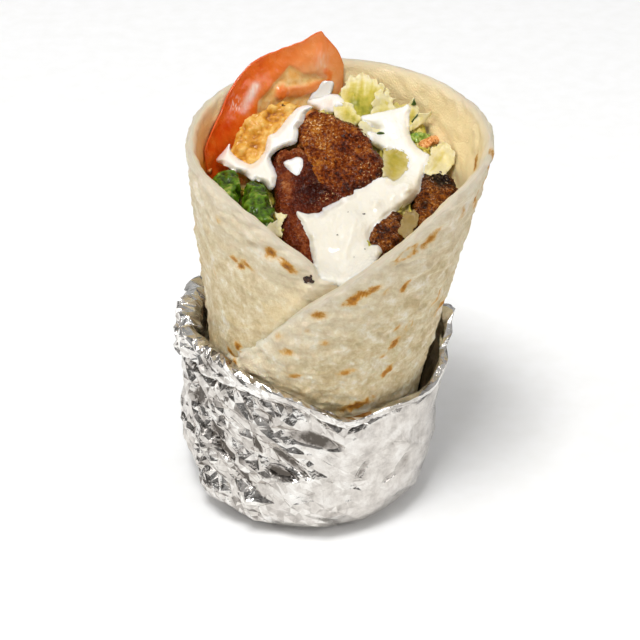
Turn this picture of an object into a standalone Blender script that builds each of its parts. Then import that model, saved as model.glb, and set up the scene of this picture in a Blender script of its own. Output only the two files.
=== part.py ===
"""Filled tortilla wrap standing on end in a crumpled foil sleeve, in metres, +Z up.

The origin is the middle of the flat foil base. -Y is the front, where the two flaps of the
rolled tortilla cross in a V. Turns are angles round the wrap in degrees: 0 is the front,
90 the right side, 180 the back and 270 the left side.
"""

import math

import bmesh
import bpy
from mathutils import Vector, noise

MM = 0.001

# The rolled tortilla: swollen by its folded bottom inside the foil, and from there a leaning
# cone that opens upwards.
SHEET_THICKNESS = 2.8 * MM
LAYER_PITCH = 3.2 * MM  # from one layer of the roll to the layer that it lies on
CONE_BOTTOM = 52 * MM
CONE_RADIUS_AT_BOTTOM = 38.9 * MM
CONE_FLARE = 0.16  # outer radius gained for each unit of height
SWELLING = ((10 * MM, 36 * MM), (18 * MM, 37.8 * MM), (30 * MM, 39 * MM), (42 * MM, 39 * MM))
AXIS_LEAN = 0.0816
AXIS_X_IN_FOIL = ((0, -0.9 * MM), (30 * MM, -0.9 * MM), (CONE_BOTTOM, 1.44 * MM))
TORTILLA_BOTTOM = 2.4 * MM
BOTTOM_ROUNDING = 9 * MM
BOTTOM_HOLE_RADIUS = 1.5 * MM  # left where the folds of the bottom meet
EDGE_ROUNDING = 0.9 * MM
OUTER_FLAP_END = -75  # turn where the outer flap ends, over the left side
OUTER_LAYER_UNTIL = 45  # up to this turn the sheet is the outer layer
INNER_LAYER_FROM = 280  # and from this one it lies inside the outer flap
INNER_FLAP_END = 400
# Height of the sheet's upper edge, from the outer flap round the back to the inner flap.
EDGE_HEIGHTS = (
    (-75, 58 * MM), (-52, 69 * MM), (-34, 79 * MM), (-7, 101 * MM), (13, 114.5 * MM),
    (37, 130 * MM), (50, 136 * MM), (66, 138.5 * MM), (100, 139 * MM), (180, 142.5 * MM),
    (270, 137.5 * MM), (306, 135.5 * MM), (322, 132 * MM), (343, 121.7 * MM), (349.5, 118.3 * MM),
    (353, 115.5 * MM), (356, 111.5 * MM), (362, 110.5 * MM), (366, 105 * MM), (400, 84 * MM),
)

# The foil sleeve: a flat base, a bulging crumpled wall and a rim that dips at the front.
FOIL_THICKNESS = 1.6 * MM
FOIL_RIM_THICKNESS = 2 * MM
FOIL_BASE_THICKNESS = 2 * MM
FOIL_CRUMPLE = 1.1 * MM
FOIL_COLUMNS = 40
FOIL_RIM_HEIGHTS = (
    (0, 60 * MM), (18, 53.5 * MM), (37, 54.5 * MM), (65, 52 * MM), (76, 56 * MM), (90, 61 * MM),
    (103, 66 * MM), (140, 67 * MM), (180, 63 * MM), (220, 65 * MM), (252, 67 * MM),
    (270, 66 * MM), (306, 70 * MM), (328, 68 * MM), (346, 64.5 * MM), (360, 60 * MM),
)
FOIL_RIM_REACH = (
    (0, 43.5 * MM), (20, 44 * MM), (40, 44.2 * MM), (70, 46.5 * MM), (90, 48.5 * MM),
    (135, 47.5 * MM), (180, 46 * MM), (225, 45 * MM), (270, 44.5 * MM), (305, 44.5 * MM),
    (330, 43.4 * MM), (360, 43.5 * MM),
)
FOIL_BELLY_HEIGHT = 30 * MM
FOIL_BELLY_REACH = (
    (0, 43.5 * MM), (90, 44.4 * MM), (180, 44 * MM), (270, 46 * MM), (360, 43.5 * MM),
)
# How much of its reach the foil has at each height, from the flat base to the belly.
FOIL_SPREAD = (
    (0, 0.72), (2.5 * MM, 0.83), (8 * MM, 0.92), (17 * MM, 0.98), (FOIL_BELLY_HEIGHT, 1),
)

# The heap that fills the wrap, highest where it leans on the back wall.
FILL_GAP = 0.6 * MM
FILL_COLUMNS = 40
HEAP_MIDDLE_HEIGHT = 119 * MM
HEAP_UNEVENNESS = 1.6 * MM
HEAP_WALL_HEIGHTS = (
    (0, 103 * MM), (25, 105 * MM), (50, 108 * MM), (80, 112 * MM), (100, 114 * MM),
    (118, 118 * MM), (132, 123 * MM), (145, 128 * MM), (158, 134 * MM), (172, 136 * MM),
    (190, 130 * MM), (220, 121 * MM), (250, 115 * MM), (285, 110 * MM), (315, 107 * MM),
    (335, 104 * MM), (360, 103 * MM),
)

# The tomato slice, standing between the heap and the wall at the back left.
TOMATO_THICKNESS = 6 * MM
TOMATO_BOTTOM = 98 * MM
TOMATO_TURNS = range(176, 257, 5)
TOMATO_UPPER_EDGE = (
    (176, 142 * MM), (178, 146.5 * MM), (181.5, 151 * MM), (186, 155.8 * MM), (192, 153 * MM),
    (200, 150.8 * MM), (208, 149.4 * MM), (217, 147.8 * MM), (224, 144.8 * MM), (231, 140.7 * MM),
    (238.5, 134.5 * MM), (256, 127 * MM),
)
WALL_FOLLOWED_UP_TO = 136 * MM  # above this height the slice stands straight

CLEARANCE = 0.45 * MM  # left between a piece and the food it is bedded in


def clear_scene():
    for old in list(bpy.data.objects):
        bpy.data.objects.remove(old)


def food_material(name, colour, roughness, metallic=0.0):
    material = bpy.data.materials.new(name)
    material.use_nodes = True
    shader = material.node_tree.nodes["Principled BSDF"]
    shader.inputs["Base Color"].default_value = (*colour, 1)
    shader.inputs["Roughness"].default_value = roughness
    shader.inputs["Metallic"].default_value = metallic
    return material


def smooth_value(points, place):
    """A value on the smooth curve through (place, value) points, which never overshoots them."""
    if place <= points[0][0]:
        return points[0][1]
    for index in range(len(points) - 1):
        (start, low), (end, high) = points[index : index + 2]
        if place <= end:
            break
    else:
        return points[-1][1]
    slope = (high - low) / (end - start)
    tangents = []
    for knot in (index, index + 1):
        before = points[max(knot - 1, 0)]
        after = points[min(knot + 1, len(points) - 1)]
        here = points[knot]
        rise_before = (here[1] - before[1]) / (here[0] - before[0]) if knot > 0 else slope
        rise_after = (after[1] - here[1]) / (after[0] - here[0]) if after != here else slope
        same_way = rise_before * rise_after > 0
        tangents.append(2 / (1 / rise_before + 1 / rise_after) if same_way else 0)
    t = (place - start) / (end - start)
    span = end - start
    return (
        low * (1 + 2 * t) * (1 - t) ** 2
        + high * t * t * (3 - 2 * t)
        + span * tangents[0] * t * (1 - t) ** 2
        - span * tangents[1] * t * t * (1 - t)
    )


def axis_x(height):
    return smooth_value(AXIS_X_IN_FOIL, height) + AXIS_LEAN * max(height - CONE_BOTTOM, 0)


def outer_radius(height):
    """Outer radius of the rolled tortilla, above its rounded bottom."""
    if height >= CONE_BOTTOM:
        return CONE_RADIUS_AT_BOTTOM + CONE_FLARE * (height - CONE_BOTTOM)
    return smooth_value((*SWELLING, (CONE_BOTTOM, CONE_RADIUS_AT_BOTTOM)), height)


def shell_profile(inset, top):
    """(radius, height) points of a surface that lies inset inside the tortilla's outer side.

    They run from the middle of the bottom, round its lower corner and up the wall to top.
    """
    corner_height = TORTILLA_BOTTOM + BOTTOM_ROUNDING
    wall_slant = math.hypot(1, CONE_FLARE)
    corner_radius = outer_radius(corner_height) - BOTTOM_ROUNDING * wall_slant
    floor = TORTILLA_BOTTOM + inset
    points = [(BOTTOM_HOLE_RADIUS, floor), (0.6 * corner_radius, floor)]
    wall_start = -math.atan(CONE_FLARE)
    for share in (0, 0.35, 0.7, 1):
        angle = -math.pi / 2 + share * (math.pi / 2 + wall_start)
        across = (BOTTOM_ROUNDING - inset) * math.cos(angle)
        up = (BOTTOM_ROUNDING - inset) * math.sin(angle)
        points.append((corner_radius + across, corner_height + up))
    for height in (*(height for height, _ in SWELLING[1:]), CONE_BOTTOM, top):
        points.append((outer_radius(height) - inset * wall_slant, height))
    return points


def layer_share(turn):
    """0 where the sheet is the outer layer of the roll, 1 where it is the inner one."""
    share = (turn - OUTER_LAYER_UNTIL) / (INNER_LAYER_FROM - OUTER_LAYER_UNTIL)
    return min(max(share, 0), 1)


def around(turn, radius, height, centre_x=None):
    centre_x = axis_x(height) if centre_x is None else centre_x
    angle = math.radians(turn)
    return Vector((centre_x + radius * math.sin(angle), -radius * math.cos(angle), height))


def lumps(point, size, depth, seed=0.0):
    """Smooth unevenness of a surface, from -depth to depth."""
    return depth * noise.noise(Vector(point) / size + Vector((seed, seed, seed)))


def skinned(name, rings, material, cap=lambda ring: [ring]):
    """A closed body through rings of as many points each, with its faces turned outwards.

    cap splits the first and the last ring into the faces that close them.
    """
    body = bmesh.new()
    rows = [[body.verts.new(point) for point in ring] for ring in rings]
    count = len(rows[0])
    for lower, upper in zip(rows, rows[1:]):
        for i in range(count):
            j = (i + 1) % count
            body.faces.new((lower[i], lower[j], upper[j], upper[i]))
    for face in cap(rows[0]) + cap(rows[-1]):
        body.faces.new(face)
    bmesh.ops.triangulate(body, faces=body.faces[:])
    bmesh.ops.recalc_face_normals(body, faces=body.faces[:])
    mesh = bpy.data.meshes.new(name)
    body.to_mesh(mesh)
    body.free()
    mesh.shade_smooth()
    mesh.set_sharp_from_angle(angle=math.radians(50))
    mesh.materials.append(material)
    obj = bpy.data.objects.new(name, mesh)
    bpy.context.scene.collection.objects.link(obj)
    return obj


def sheet_cap(ring):
    """The faces across a sheet's cut edge: from one side of it to the other, crest in the middle."""
    middle = len(ring) // 2
    steps = [(ring[i], ring[i + 1], ring[-i - 2], ring[-i - 1]) for i in range(middle - 1)]
    return [*steps, ring[middle - 1 : middle + 2]]


def grown_copy(obj, margin):
    """A hidden cutter: the same shape with its surface moved out by the margin."""
    body = bmesh.new()
    body.from_mesh(obj.data)
    body.normal_update()
    for vertex in body.verts:
        vertex.co += vertex.normal * margin
    mesh = bpy.data.meshes.new(obj.name + "_cutter")
    body.to_mesh(mesh)
    body.free()
    cutter = bpy.data.objects.new(obj.name + "_cutter", mesh)
    cutter.hide_render = True
    cutter.display_type = "WIRE"
    bpy.context.scene.collection.objects.link(cutter)
    return cutter


def bed_in(obj, cutters):
    """Leaves room in this body for each piece that is bedded in it."""
    for cutter in cutters:
        modifier = obj.modifiers.new(f"room_for_{cutter.name}", "BOOLEAN")
        modifier.operation = "DIFFERENCE"
        modifier.object = cutter
        modifier.solver = "EXACT"


def sheet_turns():
    """The turns where the sheet has a column, closer together round the inner flap's corner."""
    steps = ((65, 7), (300, 11.75), (340, 8), (365, 3.125), (INNER_FLAP_END, 8.75))
    turns = [OUTER_FLAP_END]
    for until, step in steps:
        while turns[-1] < until - step / 2:
            turns.append(turns[-1] + step)
    return turns


def make_tortilla():
    """One round tortilla rolled into a cone, its right flap over its left, its bottom folded in."""
    material = food_material("tortilla", (0.72, 0.60, 0.41), 0.75)
    columns = []
    for turn in sheet_turns():
        edge = smooth_value(EDGE_HEIGHTS, turn)
        inset = LAYER_PITCH * layer_share(turn)
        outer = shell_profile(inset, edge - EDGE_ROUNDING)
        inner = shell_profile(inset + SHEET_THICKNESS, edge - EDGE_ROUNDING)
        crest = (outer_radius(edge) - inset - SHEET_THICKNESS / 2, edge)
        section = [*outer, crest, *reversed(inner)]
        columns.append([around(turn, radius, height) for radius, height in section])
    return skinned("tortilla", columns, material, sheet_cap)


def foil_reach(turn, height):
    spread = smooth_value(FOIL_SPREAD, height)
    rim = smooth_value(FOIL_RIM_HEIGHTS, turn % 360)
    belly = smooth_value(FOIL_BELLY_REACH, turn % 360)
    above_belly = min(max((height - FOIL_BELLY_HEIGHT) / (rim - FOIL_BELLY_HEIGHT), 0), 1)
    return spread * (belly + above_belly * (smooth_value(FOIL_RIM_REACH, turn % 360) - belly))


def make_foil():
    """The foil round the lower half: crumpled facets on a flat base, with a folded rim."""
    material = food_material("foil", (0.80, 0.78, 0.76), 0.28, metallic=1.0)
    turns = [360 * column / FOIL_COLUMNS for column in range(FOIL_COLUMNS)]

    def wall_point(turn, share, inward):
        """A point of the wall at a share of the rim's height, moved inward from its outer side."""
        height = share * smooth_value(FOIL_RIM_HEIGHTS, turn)
        point = around(turn, foil_reach(turn, height), height, centre_x=0)
        crumple = lumps(point, 9 * MM, 2 * FOIL_CRUMPLE) + lumps(point, 4 * MM, FOIL_CRUMPLE, 7)
        loose = min(share / 0.12, 1)  # the foil is pressed flat where it stands
        return around(turn, foil_reach(turn, height) + loose * crumple - inward, height, centre_x=0)

    shares = (0, 0.04, 0.12, 0.25, 0.4, 0.55, 0.7, 0.85, 1)
    outer = [[wall_point(turn, share, 0) for turn in turns] for share in shares]
    crest = []
    for turn in turns:
        top = wall_point(turn, 1, FOIL_RIM_THICKNESS / 2)
        top.z += EDGE_ROUNDING
        crest.append(top)
    inner = []
    for share in (1, 0.9, 0.7, 0.5, 0.3, 0.14):
        thickness = FOIL_RIM_THICKNESS if share >= 0.9 else FOIL_THICKNESS
        inner.append([wall_point(turn, share, thickness) for turn in turns])
    floor = []
    for turn in turns:
        point = wall_point(turn, 0.04, FOIL_THICKNESS)
        point.z = FOIL_BASE_THICKNESS
        floor.append(point)
    return skinned("foil_sleeve", [*outer, crest, *inner, floor], material)


def fill_inset(turn):
    """How far inside the tortilla's outer side the filling stays, clear of both layers."""
    beside_flap_end = INNER_FLAP_END - 360 + 10
    next_to_outer_layer = 90
    if turn >= INNER_LAYER_FROM or turn <= beside_flap_end:
        share = 1
    elif turn < next_to_outer_layer:
        along = (turn - beside_flap_end) / (next_to_outer_layer - beside_flap_end)
        share = 1 - (1 - layer_share(next_to_outer_layer)) * along
    else:
        share = layer_share(turn)
    return SHEET_THICKNESS + LAYER_PITCH * share + FILL_GAP


def inner_wall_radius(turn, height):
    return outer_radius(height) - fill_inset(turn)


def make_filling():
    """Shredded salad that fills the roll from its floor to an uneven heap in the mouth."""
    material = food_material("lettuce", (0.56, 0.58, 0.20), 0.5)
    turns = [360 * column / FILL_COLUMNS for column in range(FILL_COLUMNS)]
    tops = [smooth_value(HEAP_WALL_HEIGHTS, turn) for turn in turns]
    profiles = [shell_profile(fill_inset(turn), top) for turn, top in zip(turns, tops)]
    rings = []
    for level in range(len(profiles[0])):
        rings.append([around(turn, *profile[level]) for turn, profile in zip(turns, profiles)])
    for share in (0.86, 0.68, 0.48, 0.28, 0.1):
        ring = []
        for turn, top in zip(turns, tops):
            height = HEAP_MIDDLE_HEIGHT + share**2 * (top - HEAP_MIDDLE_HEIGHT)
            point = around(turn, share * inner_wall_radius(turn, top), height)
            point.z += lumps(point, 8 * MM, HEAP_UNEVENNESS) * (1 - share**4)
            ring.append(point)
        rings.append(ring)
    return skinned("lettuce_filling", rings, material)


def between(a, b, c, d, t):
    """The point a share t of the way from b to c, on the smooth curve through all four."""
    bend = (2 * a - 5 * b + 4 * c - d) * t**2 + (3 * b - a - 3 * c + d) * t**3
    return b + 0.5 * ((c - a) * t + bend)


def closed_curve(points, count):
    """A smooth closed loop through the points, with count points on it."""
    loop = []
    for step in range(count):
        place = step * len(points) / count
        index = int(place)
        nearby = [Vector(points[(index + k) % len(points)]) for k in (-1, 0, 1, 2)]
        loop.append(between(*nearby, place - index))
    return loop


def make_chunk(name, material, outline, rest, rise, depth, crown, count=18):
    """A piece of food bedded in the heap, drawn by its outline seen from above in millimetres.

    rest is a point (x, y, z) of its upper face, and rise how steeply that face climbs along
    (x, y). The piece reaches depth below that face and swells crown above it.
    """
    loop = closed_curve([(x * MM, y * MM) for x, y in outline], count)
    middle = sum(loop, Vector((0, 0))) / count

    def face_height(spot):
        return rest[2] * MM + rise[0] * (spot.x - rest[0] * MM) + rise[1] * (spot.y - rest[1] * MM)

    # Each ring: share of the outline, and height above the face as a share of depth or crown.
    section = ((0.5, -1.0), (0.82, -0.85), (1.0, -0.45), (0.97, -0.08), (0.8, 0.55), (0.42, 0.95))
    rings = []
    for share, level in section:
        ring = []
        for spot in loop:
            place = middle + share * (spot - middle)
            height = face_height(place) + level * (depth if level < 0 else crown) * MM
            point = Vector((place.x, place.y, height))
            point.z += lumps(point, 5 * MM, 0.5 * MM, seed=len(name))
            ring.append(point)
        rings.append(ring)
    return skinned(name, rings, material)


def round_ends(share, power):
    """1 along the middle of a length, falling smoothly to a small value at both of its ends."""
    return math.sin(math.pi * min(max(share, 0.02), 0.98)) ** power


def make_ribbon(name, material, path, thickness, steps, sides=10):
    """A thick trail of sauce along path points (x, y, z, half width), all in millimetres."""
    spine = []
    for step in range(steps + 1):
        place = step * (len(path) - 1) / steps
        index = min(int(place), len(path) - 2)
        nearby = [Vector(path[min(max(index + k, 0), len(path) - 1)]) * MM for k in (-1, 0, 1, 2)]
        spine.append(between(*nearby, place - index))
    rings = []
    for step, knot in enumerate(spine):
        ahead = spine[min(step + 1, steps)].xy - spine[max(step - 1, 0)].xy
        across = Vector((ahead.y, -ahead.x, 0)).normalized()
        end_share = round_ends(step / steps, 0.3)
        ring = []
        for side in range(sides):
            angle = 2 * math.pi * side / sides
            wide = knot.w * end_share * math.cos(angle)
            tall = 0.5 * thickness * MM * end_share * math.sin(angle)
            ring.append(knot.xyz + across * wide + Vector((0, 0, tall)))
        rings.append(ring)
    return skinned(name, rings, material)


def make_tomato():
    """A thick slice of tomato that follows the inside of the wall and stands above its edge."""
    material = food_material("tomato", (0.78, 0.17, 0.06), 0.3)
    columns = []
    for column, turn in enumerate(TOMATO_TURNS):
        top = smooth_value(TOMATO_UPPER_EDGE, turn)
        thickness = TOMATO_THICKNESS * round_ends(column / (len(TOMATO_TURNS) - 1), 0.4)

        def slice_point(height, inward):
            on_wall = min(height, WALL_FOLLOWED_UP_TO)
            radius = inner_wall_radius(turn, on_wall) - inward
            return around(turn, radius, height, centre_x=axis_x(on_wall))

        levels = [TOMATO_BOTTOM + share * (top - TOMATO_BOTTOM) for share in (0, 0.25, 0.5, 0.75, 0.93)]
        outer = [slice_point(height, 0) for height in levels]
        inner = [slice_point(height, thickness) for height in levels]
        columns.append([*outer, slice_point(top, thickness / 2), *reversed(inner)])
    return skinned("tomato_slice", columns, material, sheet_cap)


def make_bedded_pieces():
    seared = food_material("seared_meat", (0.19, 0.065, 0.022), 0.4)
    glazed = food_material("glazed_meat", (0.10, 0.022, 0.012), 0.3)
    golden = food_material("golden_crust", (0.66, 0.36, 0.08), 0.55)
    green = food_material("green_pepper", (0.045, 0.10, 0.012), 0.3)
    slab = make_chunk(
        "meat_slab", seared,
        [
            (-4.5, 14), (-2.5, 21), (4, 22.5), (12, 19), (18, 17), (21, 11), (25.5, 4), (25.5, -2),
            (18, -7), (10, -11), (4, -14.5), (-1.5, -14.5), (-4, -8), (-5, 3),
        ],
        rest=(10, 0, 125), rise=(0, 0.55), depth=9, crown=2.5, count=24,
    )
    glazed_piece = make_chunk(
        "meat_glazed", glazed,
        [
            (-12.5, 12), (-8, 15), (-4, 8), (-3, -6), (1, -17), (3, -26), (5, -34), (2, -37.5),
            (-4, -31), (-9, -23), (-11, -13), (-12.5, 0),
        ],
        rest=(-8, -5, 120.5), rise=(0, 0.42), depth=10, crown=2, count=20,
    )
    bed_in(glazed_piece, [grown_copy(slab, CLEARANCE)])
    return [
        slab,
        glazed_piece,
        make_chunk(
            "meat_front", seared,
            [(19, -21), (24, -14), (29, -12), (32, -18), (30, -26), (24, -31), (19, -28)],
            rest=(26, -20, 115), rise=(0, 0.3), depth=9, crown=2, count=14,
        ),
        make_chunk(
            "meat_right", seared,
            [(37, 7), (42, 10), (48, 8), (50, 1), (45, -9), (37, -18), (33, -12), (35, -2)],
            rest=(41, -2, 117.5), rise=(0, 0.2), depth=10, crown=2.5, count=16,
        ),
        make_chunk(
            "fried_piece", golden,
            [
                (-27, 13), (-25, 18), (-20.5, 22), (-15, 24), (-11, 26), (-6, 27), (-2.5, 25),
                (-5, 20), (-10, 15), (-15, 10), (-20, 7), (-25, 8.5),
            ],
            rest=(-15, 16, 129.5), rise=(0, 0.9), depth=8, crown=2, count=20,
        ),
        make_chunk(
            "green_pepper_left", green,
            [(-32, 3), (-28, 5), (-24.5, 4), (-23, -1), (-24, -8), (-26, -14), (-31, -9), (-33, -3)],
            rest=(-27, -2, 122), rise=(0, 0.1), depth=9, crown=2, count=14,
        ),
        make_chunk(
            "green_pepper_right", green,
            [
                (-21, 0), (-17.5, -1), (-14, -6), (-13.5, -12), (-11.5, -18), (-13, -26),
                (-19, -25), (-22, -15), (-22, -7),
            ],
            rest=(-17, -15, 120.5), rise=(0, 0.1), depth=9, crown=2, count=16,
        ),
        make_tomato(),
    ]


def make_sauces():
    material = food_material("white_sauce", (0.86, 0.83, 0.74), 0.25)
    pool = make_ribbon(
        "sauce_pool", material,
        [
            (18, 24, 132, 5), (29, 23.5, 132.5, 6), (35.5, 15, 129, 5), (39, 6, 125.5, 5.5),
            (36, -3.5, 122.5, 6), (27.5, -9, 119.8, 7), (18.5, -13, 118.2, 8.5),
            (11, -19, 116, 10.5), (8, -27, 112.5, 11.5), (9.5, -36.5, 108, 9.5),
        ],
        thickness=8, steps=22,
    )
    trail = make_ribbon(
        "sauce_trail", material,
        [
            (-31, 8, 126.5, 2.4), (-25.5, 6, 126.5, 3.4), (-18.5, 0.5, 124.5, 5.4), (-13, 5, 127.5, 5.4),
            (-9, 13.5, 132.5, 4), (-4, 21, 137.5, 3.4), (3, 25.5, 140.5, 4.4), (11, 26.5, 140.5, 4.6),
        ],
        thickness=6, steps=18,
    )
    return [pool, trail]


clear_scene()
make_foil()
make_tortilla()
pieces = make_bedded_pieces()
cutters = [grown_copy(piece, CLEARANCE) for piece in pieces]
sauces = make_sauces()
sauce_cutters = [grown_copy(sauce, CLEARANCE) for sauce in sauces]
for sauce in sauces:
    bed_in(sauce, cutters)
bed_in(make_filling(), cutters + sauce_cutters)
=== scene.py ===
"""A filled tortilla wrap standing on end in its crumpled foil sleeve, made round its CAD frame."""

import math
from functools import partial

import bmesh
import bpy
import numpy as np
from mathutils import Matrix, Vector, geometry, noise
from mathutils.bvhtree import BVHTree


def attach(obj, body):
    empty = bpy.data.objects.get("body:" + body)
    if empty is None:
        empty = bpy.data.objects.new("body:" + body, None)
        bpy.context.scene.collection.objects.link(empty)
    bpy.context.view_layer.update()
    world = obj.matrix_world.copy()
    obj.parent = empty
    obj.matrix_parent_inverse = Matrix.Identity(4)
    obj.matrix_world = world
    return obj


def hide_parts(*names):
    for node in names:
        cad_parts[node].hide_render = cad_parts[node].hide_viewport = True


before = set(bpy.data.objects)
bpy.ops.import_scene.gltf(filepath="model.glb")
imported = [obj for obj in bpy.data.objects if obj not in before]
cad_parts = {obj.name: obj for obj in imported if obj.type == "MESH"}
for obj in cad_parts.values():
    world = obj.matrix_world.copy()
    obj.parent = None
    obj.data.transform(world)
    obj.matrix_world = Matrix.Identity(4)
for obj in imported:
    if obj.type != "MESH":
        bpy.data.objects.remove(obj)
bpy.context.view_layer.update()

# ------------------------------------------------------------
# The table and the light: a sheet of white paper under soft boxes, seen from above the front,
# with darker studio walls that the foil mirrors.

CAMERA_DISTANCE = 0.65
CAMERA_ELEVATION = math.radians(33)
CAMERA_TARGET = Vector((0.0033, 0, 0.0661))
CAMERA_LENS = 104.46


def linear(colour):
    """An sRGB hex colour as the linear colour that a shader takes."""
    parts = [int(colour[i : i + 2], 16) / 255 for i in (1, 3, 5)]
    return (*(c / 12.92 if c <= 0.04045 else ((c + 0.055) / 1.055) ** 2.4 for c in parts), 1)


def feed(node, inputs):
    """Sets a node's inputs, by name or in order, to a value, a hex colour, another node's result
    or one output of it."""
    for name, value in inputs.items() if isinstance(inputs, dict) else enumerate(inputs):
        if isinstance(value, bpy.types.Node):  # a mix of colours gives its result third
            value = value.outputs[2 if getattr(value, "data_type", "") == "RGBA" else 0]
        if isinstance(value, bpy.types.NodeSocket):
            node.id_data.links.new(value, node.inputs[name])
        else:
            node.inputs[name].default_value = linear(value) if isinstance(value, str) else value


def add_node(tree, kind, inputs=(), stops=(), **settings):
    """A shader node with its settings, its inputs and, for a colour ramp, its stops."""
    node = tree.nodes.new("ShaderNode" + kind)
    for name, value in settings.items():
        setattr(node, name, value)
    feed(node, inputs)
    for index, (place, colour) in enumerate(stops):
        ramp = node.color_ramp.elements
        stop = ramp[index] if index < 2 else ramp.new(place)
        stop.position = place
        stop.color = linear(colour) if isinstance(colour, str) else (colour, colour, colour, 1)
    return node


def new_finish(name, **values):
    """A material, what adds a node to it, and its shader with the values that don't vary."""
    material = bpy.data.materials.new(name)
    material.use_nodes = True
    shader = material.node_tree.nodes["Principled BSDF"]
    feed(shader, {socket.replace("_", " "): value for socket, value in values.items()})
    return material, partial(add_node, material.node_tree), shader


def plain_mesh(name, points, faces, material):
    """An object made from points in metres and faces, shaded smooth."""
    mesh = bpy.data.meshes.new(name)
    mesh.from_pydata([tuple(point) for point in points], [], [tuple(face) for face in faces])
    mesh.update()
    mesh.shade_smooth()
    mesh.materials.append(material)
    obj = bpy.data.objects.new(name, mesh)
    bpy.context.scene.collection.objects.link(obj)
    return obj


paper, add, shader = new_finish("white_card_uncoated", Roughness=0.9)
# Matt card with an even tooth, so that shadows on it stay soft. A scale counts a pattern's grains
# in a metre: 900 gives grains of 1.1 mm, coarser than the real tooth, which wouldn't show.
grain = add("TexNoise", {"Scale": 900.0, "Detail": 2.0})
shade = add("ValToRGB", (grain,), stops=((0.3, "#fbfbfa"), (0.7, "#ffffff")))
feed(shader, {"Base Color": shade})
TABLE_HALF, TABLE_TOP = 4.0, -0.0003  # a hair below the foil's base, so that the two never meet
corners = [(x * TABLE_HALF, y * TABLE_HALF, TABLE_TOP) for x, y in ((-1, -1), (1, -1), (1, 1), (-1, 1))]
floor = plain_mesh("table", corners, [(0, 1, 2, 3)], paper)

camera = bpy.data.objects.new("camera", bpy.data.cameras.new("camera"))
bpy.context.scene.collection.objects.link(camera)
away = Vector((0, -math.cos(CAMERA_ELEVATION), math.sin(CAMERA_ELEVATION)))
camera.location = CAMERA_TARGET + CAMERA_DISTANCE * away
camera.rotation_euler = (math.pi / 2 - CAMERA_ELEVATION, 0, 0)
camera.data.lens = CAMERA_LENS
camera.data.sensor_width = 36
camera.data.clip_start, camera.data.clip_end = 0.01, 20
bpy.context.scene.camera = camera

# Each soft box: azimuth, elevation, distance, width and height in metres, power in watts.
SOFT_BOXES = {
    "overhead_box": (-22, 70, 2.0, 0.6, 0.6, 27.0),
    "left_box": (-75, 36, 2.2, 1.0, 1.2, 6.8),
    "right_box": (62, 34, 2.4, 0.8, 1.2, 6.8),
}
for name, (azimuth, elevation, distance, width, height, power) in SOFT_BOXES.items():
    data = bpy.data.lights.new(name, "AREA")
    data.shape, data.size, data.size_y, data.energy = "RECTANGLE", width, height, power
    box = bpy.data.objects.new(name, data)
    bpy.context.scene.collection.objects.link(box)
    a, e = math.radians(azimuth), math.radians(elevation)
    out = Vector((math.sin(a) * math.cos(e), -math.cos(a) * math.cos(e), math.sin(e)))
    box.location = Vector((0, 0, 0.07)) + distance * out
    box.rotation_mode = "QUATERNION"
    box.rotation_quaternion = out.to_track_quat("Z", "Y")

world = bpy.data.worlds.new("studio")
bpy.context.scene.world = world
world.use_nodes = True
add = partial(add_node, world.node_tree)
direction = add("TexCoord").outputs["Generated"]
up = add("SeparateXYZ", {"Vector": direction}).outputs["Z"]
patches = add("TexNoise", {"Vector": direction, "Scale": 2.6, "Detail": 1.0})
height = add("MapRange", (up, -0.1, 1.0))
uneven = add("Math", (patches, 0.25, height), operation="MULTIPLY_ADD")
walls = add(
    "ValToRGB", (uneven,),
    stops=((0.16, 0.30), (0.24, 0.18), (0.40, 0.20), (0.55, 0.75), (1.0, 0.95)),
)
to_camera = add("LightPath").outputs["Is Camera Ray"]
backdrop = add("Mix", {"Factor": to_camera, 6: walls, 7: (0.93, 0.925, 0.92, 1)}, data_type="RGBA")
feed(world.node_tree.nodes["Background"], {"Color": backdrop, "Strength": 0.5})
bpy.context.scene.view_settings.view_transform = "Standard"

# ------------------------------------------------------------
# The tortilla: one round of soft wheat dough, baked on a hot plate that toasts its blisters,
# and rolled into a cone with its right flap over its left. Its folded bottom is in the foil.

MM = 0.001


def in_mm(*points):
    """(place, value) points whose values are given in millimetres."""
    return tuple((place, value * MM) for place, value in points)


SHEET_THICKNESS = 2.8 * MM
LAYER_PITCH = 3.2 * MM
CONE_BOTTOM = 52 * MM
CONE_RADIUS_AT_BOTTOM = 38.9 * MM
CONE_FLARE = 0.16
SWELLING = ((10 * MM, 36 * MM), (18 * MM, 37.8 * MM), (30 * MM, 39 * MM), (42 * MM, 39 * MM))
AXIS_LEAN = 0.0816
AXIS_X_IN_FOIL = ((0, -0.9 * MM), (30 * MM, -0.9 * MM), (CONE_BOTTOM, 1.44 * MM))
TORTILLA_BOTTOM = 2.4 * MM
BOTTOM_ROUNDING = 9 * MM
EDGE_ROUNDING = 1.2 * MM
OUTER_FLAP_END, INNER_FLAP_END = -75, 400
OUTER_LAYER_UNTIL, INNER_LAYER_FROM = 45, 280
SHEET_RADIUS = 45 * MM  # where the sheet's pattern is laid out flat, so that turns become lengths
EDGE_HEIGHTS = in_mm(
    (-75, 58), (-52, 69), (-34, 79), (-7, 101), (13, 114.5), (37, 130), (50, 136), (66, 138.5), (100, 139),
    (180, 142.5), (270, 137.5), (306, 135.5), (322, 132), (343, 121.7), (349.5, 118.3), (353, 115.5),
    (356, 111.5), (362, 110.5), (366, 105), (400, 84),
)


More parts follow.
